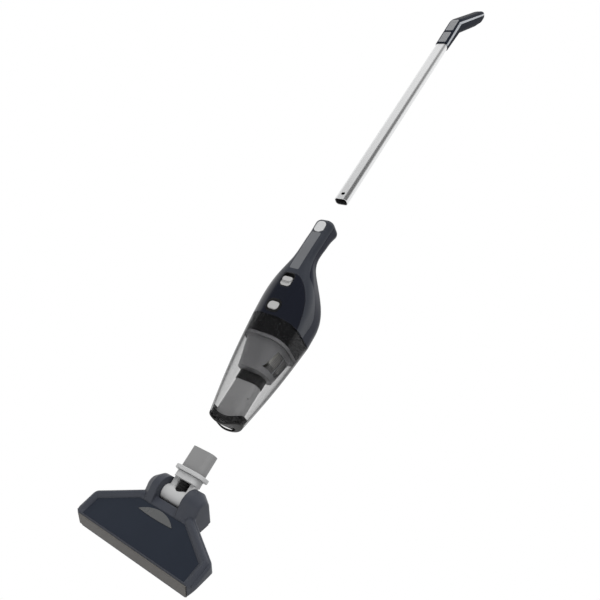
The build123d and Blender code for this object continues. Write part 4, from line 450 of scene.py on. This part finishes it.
def basket_side(height, y):
    """Distance of the basket's side wall from the middle, at a height above the mouth."""
    share = (height - BASKET_FOOT) / (BASKET_TOP - BASKET_FOOT)
    half = HALF_WIDTH[0] + HALF_WIDTH[1] * share - WALL_MIDDLE
    front = FRONT_WALL[0] + FRONT_WALL[1] * share + WALL_MIDDLE
    back = BACK_WALL[0] + BACK_WALL[1] * share - WALL_MIDDLE
    corner = WALL_CORNER[0] + WALL_CORNER[1] * share - WALL_MIDDLE
    past = max(front + corner - y, y - back + corner, 0.0)
    return half - corner + (corner ** 2 - past ** 2) ** 0.5


rib_lines = bpy.data.meshes.new("rib_lines")
rib_points = []
rib_edges = []
for side in (-1, 1):
    for level in range(RIB_LEVELS):
        height = RIB_FIRST + level * RIB_PITCH
        for low, high in WINDOW_SPANS:
            for step in range(RIB_PIECES + 1):
                y = low + (high - low) * step / RIB_PIECES
                if step:
                    rib_edges.append((len(rib_points) - 1, len(rib_points)))
                rib_points.append((side * basket_side(height, y), y, MOUTH_LEVEL + height))
rib_lines.from_pydata(rib_points, rib_edges, [])
grille = Pattern("filter_grille", radius=RIB_RADIUS)
line = grille.node("GeometryNodeMeshToCurve", {}, {"Mesh": grille.size("base")}, "Curve")
ring = grille.node(
    "GeometryNodeCurvePrimitiveCircle",
    {},
    {"Resolution": RIB_SIDES, "Radius": grille.size("radius")},
    "Curve",
)
ribs = grille.node(
    "GeometryNodeCurveToMesh", {}, {"Curve": line, "Profile Curve": ring, "Fill Caps": True}, "Mesh"
)
grille.close(ribs, filter_grey)
filter_grille = grille.grow("filter_grille", rib_lines)
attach(filter_grille, "bowl")

# Connector and neck: a thin-walled grey tube that plugs into the nozzle, a pale flange ring
# under it and a pale yoke whose barrel is pinned between the humps of the floor head.
connector_grey = moulded("connector_grey", (0.235, 0.235, 0.236), 0.42)
yoke_pale = moulded("yoke_pale", (0.455, 0.458, 0.460), 0.38, 2000.0, 0.000006, 0.03, 0.0012)
coat(connector_grey, "connector_tube")
coat(yoke_pale, "connector_flange", "neck_yoke")
coat(zinc_steel.material, "hinge_pins")

# Neck bellows: a ribbed hose moulded in black rubber, held between connector and head.
# It carries the air through the moving neck.
coat(seal_rubber, "neck_bellows")

# Floor head: a charcoal cover with a navy panel let into its sloping top, a smoked window
# along the panel's back edge and a soft bumper strip across the front.
head_charcoal = moulded("head_charcoal", (0.040, 0.044, 0.056), 0.46, 1300.0, 0.000008, edge=0.0045)
head_navy = moulded("head_navy", (0.0125, 0.0170, 0.0270), 0.46, Specular_IOR_Level=0.2)
window_grey = moulded("window_grey", (0.085, 0.087, 0.088), 0.26, 2600.0, 0.000004)
bumper_grey = moulded("bumper_grey", (0.105, 0.100, 0.094), 0.56, 1000.0, 0.000016)
coat(head_charcoal, "head_cover")
coat(head_navy, "head_panel")
coat(window_grey, "head_window")
coat(bumper_grey, "head_bumper")

# Rolled rim: the border of the head cover, of the same charcoal plastic, rises in a soft roll
# round the sunk panel, at both ends and along the slanting back edges. It runs out at the
# front edge and into the humps.
HEAD_HINGE = Vector((0, 0.062, -1.212))
HEAD_BACK = Vector((0, 0.5388, 0.8425))
HEAD_DOWN = Vector((0, 0.8425, -0.5388))
END_HALF = 0.129
FRONT_EDGE = -0.0974
END_BACK = -0.058
WAIST = Vector((0.054, -0.016))
PLAN_CORNER = 0.011
TOP_AT_HINGE = 0.0067
TOP_SLOPE = 0.2326
RIM_OUTER = 0.0032
RIM_INNER = 0.0176
RIM_RISE = 0.0050
RIM_RUN_IN = 0.016
RIM_ROOT = -0.0018
RIM_ON = 0.009
RIM_FADE = 0.016
RIM_STEPS = 12
END_STEPS = 10
CORNER_STEPS = 8
BACK_STEPS = 24
CORNER_REACH = 0.586
CORNER_LEAST = 0.0005
OUTER_SUNK = 0.0002
INNER_SUNK = 0.0008
ROLL_OUTWARD = 0.8
ROLL_SOFT = 1.3


def rim_line(inset):
    """Plan of the right rim at a distance from the outline, from the front edge to the hump."""
    along = (WAIST - Vector((END_HALF, END_BACK))).normalized()
    inward = Vector((-along.y, along.x))
    to_corner = inset * (1 + inward.x) / -along.x
    corner = Vector((END_HALF, END_BACK)) + inward * inset + along * to_corner
    reach = max(PLAN_CORNER - inset, CORNER_LEAST) * CORNER_REACH
    first = corner - Vector((0, reach))
    last = corner + along * reach
    front = Vector((END_HALF - inset, FRONT_EDGE))
    points = [front.lerp(first, step / END_STEPS) for step in range(END_STEPS)]
    for step in range(CORNER_STEPS):
        way = step / CORNER_STEPS
        points.append(first.lerp(corner, way).lerp(corner.lerp(last, way), way))
    end = WAIST + inward * inset + along * RIM_ON
    points += [last.lerp(end, step / BACK_STEPS) for step in range(BACK_STEPS + 1)]
    return points


def rim_height(share, from_front, from_end):
    """Height of the roll over the cover's top, across the rim and growing away from its ends."""
    grown = min(from_front / RIM_RUN_IN, from_end / RIM_FADE, 1.0)
    grown = grown * grown * (3 - 2 * grown)
    roll = sin(pi * share ** ROLL_OUTWARD) ** ROLL_SOFT
    return RIM_RISE * grown * roll - OUTER_SUNK - (INNER_SUNK - OUTER_SUNK) * share


def head_point(u, v, rise):
    """Place of a point over the cover's sloping top, from its plan in the head's own frame."""
    height = TOP_AT_HINGE + TOP_SLOPE * v + rise
    return HEAD_HINGE + Vector((u, 0, 0)) + HEAD_BACK * v - HEAD_DOWN * height


for side, rim_name in ((-1, "head_rim_left"), (1, "head_rim_right")):
    form = bmesh.new()
    rows = []
    for step in range(RIM_STEPS + 1):
        share = step / RIM_STEPS
        line = rim_line(RIM_OUTER + (RIM_INNER - RIM_OUTER) * share)
        heights = [rim_height(share, p.y - FRONT_EDGE, (p - line[-1]).length) for p in line]
        top = [head_point(side * p.x, p.y, height) for p, height in zip(line, heights)]
        rows.append([form.verts.new(point) for point in top])
    for inset in (RIM_INNER, RIM_OUTER):
        root = [head_point(side * p.x, p.y, RIM_ROOT) for p in rim_line(inset)]
        rows.append([form.verts.new(point) for point in root])
    for row, after in zip(rows, rows[1:] + rows[:1]):
        for spot in range(len(row) - 1):
            form.faces.new((row[spot], row[spot + 1], after[spot + 1], after[spot]))
    for end in (0, -1):
        form.faces.new([row[end] for row in rows])
    bmesh.ops.recalc_face_normals(form, faces=form.faces)
    for face in form.faces:
        face.smooth = len(face.verts) == 4
    rim_mesh = bpy.data.meshes.new(rim_name)
    form.to_mesh(rim_mesh)
    form.free()
    rim_mesh.materials.append(head_charcoal)
    rim = bpy.data.objects.new(rim_name, rim_mesh)
    bpy.context.scene.collection.objects.link(rim)
    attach(rim, "head")

# Sole: a base plate moulded in black plastic and screwed under the cover from below.
# The screws are of zinc-plated steel with cross slots.
base_black = moulded("base_black", (0.0085, 0.0085, 0.0090), 0.5)
coat(base_black, "head_base")
coat(zinc_steel.material, "head_screws")
SCREW_LEVEL = 0.0420
SCREW_PLAN = ((-0.078, -0.044), (-0.020, -0.030), (0.020, -0.030), (0.078, -0.044))
head_screw_heads = [
    (HEAD_HINGE + Vector((u, 0, 0)) + HEAD_BACK * v + HEAD_DOWN * SCREW_LEVEL, HEAD_DOWN)
    for u, v in SCREW_PLAN
]
head_crosses = cross_recess.grow("head_screw_crosses", head_faces(head_screw_heads))
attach(head_crosses, "head")

# Lint strips: red nylon felt glued into the sole beside the suction slot.
# Its short leaning pile stands on the faces that look down.
felt_red = moulded("felt_red", (0.160, 0.020, 0.020), 0.9)
coat(felt_red, "lint_strips")
PILE_DENSITY = 1.5e6
PILE_LENGTH = 0.0009
PILE_RADIUS = 0.00022
PILE_TIP = 0.00005
PILE_SIDES = 4
PILE_SEED = 7
PILE_LEAN = 0.5
FULL_TURN = 6.28
LOOKS_DOWN = 0.9
SAME_POINT = 1e-6
sole_side = bmesh.new()
sole_side.from_mesh(nodes["lint_strips"].data)
bmesh.ops.remove_doubles(sole_side, verts=sole_side.verts, dist=SAME_POINT)
other_faces = [face for face in sole_side.faces if face.normal.dot(HEAD_DOWN) < LOOKS_DOWN]
bmesh.ops.delete(sole_side, geom=other_faces, context="FACES")
pile_base = bpy.data.meshes.new("pile_base")
sole_side.to_mesh(pile_base)
sole_side.free()
pile = Pattern(
    "lint_pile", density=PILE_DENSITY, length=PILE_LENGTH, radius=PILE_RADIUS, seed=PILE_SEED
)
rooted = pile.node(
    "GeometryNodeDistributePointsOnFaces",
    {"distribute_method": "RANDOM"},
    {"Mesh": pile.size("base"), "Density": pile.size("density"), "Seed": pile.size("seed")},
    "Points",
)
stands = Value(pile.tree, rooted.socket.node.outputs["Rotation"])
leaning = pile.node(
    "FunctionNodeRandomValue",
    {"data_type": "FLOAT_VECTOR"},
    {
        "Min": (-PILE_LEAN, -PILE_LEAN, 0.0),
        "Max": (PILE_LEAN, PILE_LEAN, FULL_TURN),
        "Seed": pile.size("seed"),
    },
)
lean_turn = pile.node("FunctionNodeEulerToRotation", {}, {"Euler": leaning})
tilted = pile.node(
    "FunctionNodeRotateRotation", {"rotation_space": "LOCAL"}, {"Rotation": stands, "Rotate By": lean_turn}
)
fibre = pile.node(
    "GeometryNodeMeshCone",
    {},
    {
        "Vertices": PILE_SIDES,
        "Radius Top": PILE_TIP,
        "Radius Bottom": pile.size("radius"),
        "Depth": pile.size("length"),
    },
    "Mesh",
)
fibres = pile.node(
    "GeometryNodeInstanceOnPoints", {}, {"Points": rooted, "Instance": fibre, "Rotation": tilted}
)
pile.close(fibres, felt_red)
lint_pile = pile.grow("lint_pile", pile_base)
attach(lint_pile, "head")

# Wheels and rollers: moulded in hard black rubber, with a fine cross tread round each.
# The wheels turn on steel axles behind, the small rollers in the sole's front edge.
tyre_black = moulded("tyre_black", (0.012, 0.012, 0.012), 0.62, 900.0, 0.00002)
coat(tyre_black, "rear_wheel_left", "rear_wheel_right", "front_roller_left", "front_roller_right")
coat(zinc_steel.material, "wheel_axles")
TREAD_PROUD = 0.00012
TREAD_DEEP = 0.0006
TREAD_THICK = 0.0008
TREAD_SHARE = 0.5
WHEEL_RIBS = 48
ROLLER_RIBS = 24


def extent(name, axis):
    """Lowest and highest coordinate of a CAD node along one axis."""
    along = [vertex.co[axis] for vertex in nodes[name].data.vertices]
    return min(along), max(along)


tread = Pattern("tyre_tread", ribs=WHEEL_RIBS, radius=0.0, width=0.0, thick=TREAD_THICK)
around = tread.node(
    "GeometryNodeMeshCircle", {}, {"Vertices": tread.size("ribs"), "Radius": tread.size("radius")}
)
rib_place = tread.node("GeometryNodeInputPosition", {}, {})
radial = tread.node("FunctionNodeAlignRotationToVector", {"axis": "X"}, {"Vector": rib_place})
bar = tread.node(
    "GeometryNodeMeshCube",
    {},
    {"Size": tread.vector(TREAD_DEEP, tread.size("thick"), tread.size("width"))},
)
bars = tread.node(
    "GeometryNodeInstanceOnPoints", {}, {"Points": around, "Instance": bar, "Rotation": radial}
)
tread.close(bars, tyre_black)
for tyre, body, ribs in (
    ("rear_wheel_left", "wheel_left", WHEEL_RIBS),
    ("rear_wheel_right", "wheel_right", WHEEL_RIBS),
    ("front_roller_left", "roller_left", ROLLER_RIBS),
    ("front_roller_right", "roller_right", ROLLER_RIBS),
):
    ends = [extent(tyre, axis) for axis in range(3)]
    middle = Vector([(low + high) / 2 for low, high in ends])
    radius = (ends[1][1] - ends[1][0]) / 2
    treads = tread.grow(
        f"{tyre}_tread",
        bpy.data.meshes.new("no_base"),
        ribs=ribs,
        radius=radius + TREAD_PROUD - TREAD_DEEP / 2,
        width=(ends[0][1] - ends[0][0]) * TREAD_SHARE,
    )
    treads.data.transform(Matrix.Translation(middle) @ Matrix.Rotation(pi / 2, 4, "Y"))
    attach(treads, body)

# Studio: white surroundings that gloss and glass show too, and a darker room behind the camera.
# One broad sun shines from the upper right. A pale floor lies below the reach of the drawn-out
# head; it throws light back and shows in gloss, and the camera does not see it.
scene = bpy.context.scene
scene.view_settings.view_transform = "Standard"
PLAIN_LIGHT = 0.55
ROOM_DARK = 0.85
ROOM_WAY = (0.58, -0.81, -0.90)
ROOM_EDGE = -0.35
ROOM_MIDDLE = -0.05
SUN_FROM = Vector((0.35, -0.62, 0.70))
SUN_POWER = 2.0
SUN_SPREAD = 0.7


def rays(tree, *kinds):
    """1 for rays of the named kinds, 0 for others."""
    path = tree.nodes.new("ShaderNodeLightPath")
    named = [Value(tree, path.outputs[kind]) for kind in kinds]
    total = sum(named[1:], named[0])
    return total.math("MINIMUM", total, 1.0)


world = bpy.data.worlds.new("studio")
scene.world = world
world.use_nodes = True
sky = world.node_tree
facing_room = place_node(
    sky,
    "ShaderNodeVectorMath",
    {"operation": "DOT_PRODUCT"},
    {0: place_node(sky, "ShaderNodeTexCoord", {}, {}, "Generated"), 1: ROOM_WAY},
    "Value",
)
room = place_node(
    sky,
    "ShaderNodeMapRange",
    {"interpolation_type": "SMOOTHSTEP"},
    {
        "Value": facing_room,
        "From Min": ROOM_EDGE,
        "From Max": ROOM_MIDDLE,
        "To Min": 1.0,
        "To Max": 1 - ROOM_DARK,
    },
    "Result",
)
through = rays(sky, "Is Camera Ray", "Is Transmission Ray")
gloss = rays(sky, "Is Glossy Ray")
plain = 1.0 - rays(sky, "Is Camera Ray", "Is Transmission Ray", "Is Glossy Ray")
sky.nodes["Background"].inputs["Color"].default_value = (1, 1, 1, 1)
feed(sky, sky.nodes["Background"].inputs["Strength"], through + gloss * room + plain * PLAIN_LIGHT)

sun_light = bpy.data.lights.new("sun_lamp", "SUN")
sun_light.energy = SUN_POWER
sun_light.angle = SUN_SPREAD
sun = bpy.data.objects.new("sun_lamp", sun_light)
sun.visible_glossy = False
scene.collection.objects.link(sun)
sun.matrix_world = SUN_FROM.to_track_quat("Z", "Y").to_matrix().to_4x4()

FLOOR_HALF = 4.0
FLOOR_MIRRORED = 0.15
FLOOR_BELOW = 0.16
FLOOR_PLAN = ((-1, -1), (1, -1), (1, 1), (-1, 1))
floor_level = cad_box[0][2] - FLOOR_BELOW
floor_corners = [(FLOOR_HALF * x, FLOOR_HALF * y, floor_level) for x, y in FLOOR_PLAN]
floor_mesh = bpy.data.meshes.new("floor")
floor_mesh.from_pydata(floor_corners, [], [range(len(floor_corners))])
floor = bpy.data.objects.new("floor", floor_mesh)
scene.collection.objects.link(floor)
floor_white = Finish("floor_white", Roughness=0.9)
floor_white.set("Base Color", (0.85, 0.85, 0.85, 1))
floor_white.set("Emission Color", (1, 1, 1, 1))
mirrored = rays(floor_white.tree, "Is Glossy Ray", "Is Transmission Ray")
floor_white.set("Emission Strength", mirrored * FLOOR_MIRRORED)
floor.visible_camera = False
floor.data.materials.append(floor_white.material)

# Camera: the photograph's place, beside the head and looking up along the stick.
# Its focal length is given in the photograph's pixels.
EYE = Vector((0.564, -0.737, -1.254))
AHEAD = Vector((-0.5256, 0.7417, 0.4167))
ACROSS = Vector((0.819, 0.309, 0.4832))
PHOTO_FOCAL = 570.2
PHOTO_SIDE = 600
ahead = AHEAD.normalized()
across = (ACROSS - ahead * ACROSS.dot(ahead)).normalized()
above = across.cross(ahead)
lens = bpy.data.cameras.new("photo_camera")
lens.sensor_width = 36.0
lens.lens = PHOTO_FOCAL / PHOTO_SIDE * lens.sensor_width
lens.clip_start = 0.01
camera = bpy.data.objects.new("photo_camera", lens)
scene.collection.objects.link(camera)
turned = Matrix((across, above, -ahead)).transposed().to_4x4()
camera.matrix_world = Matrix.Translation(EYE) @ turned
scene.camera = camera
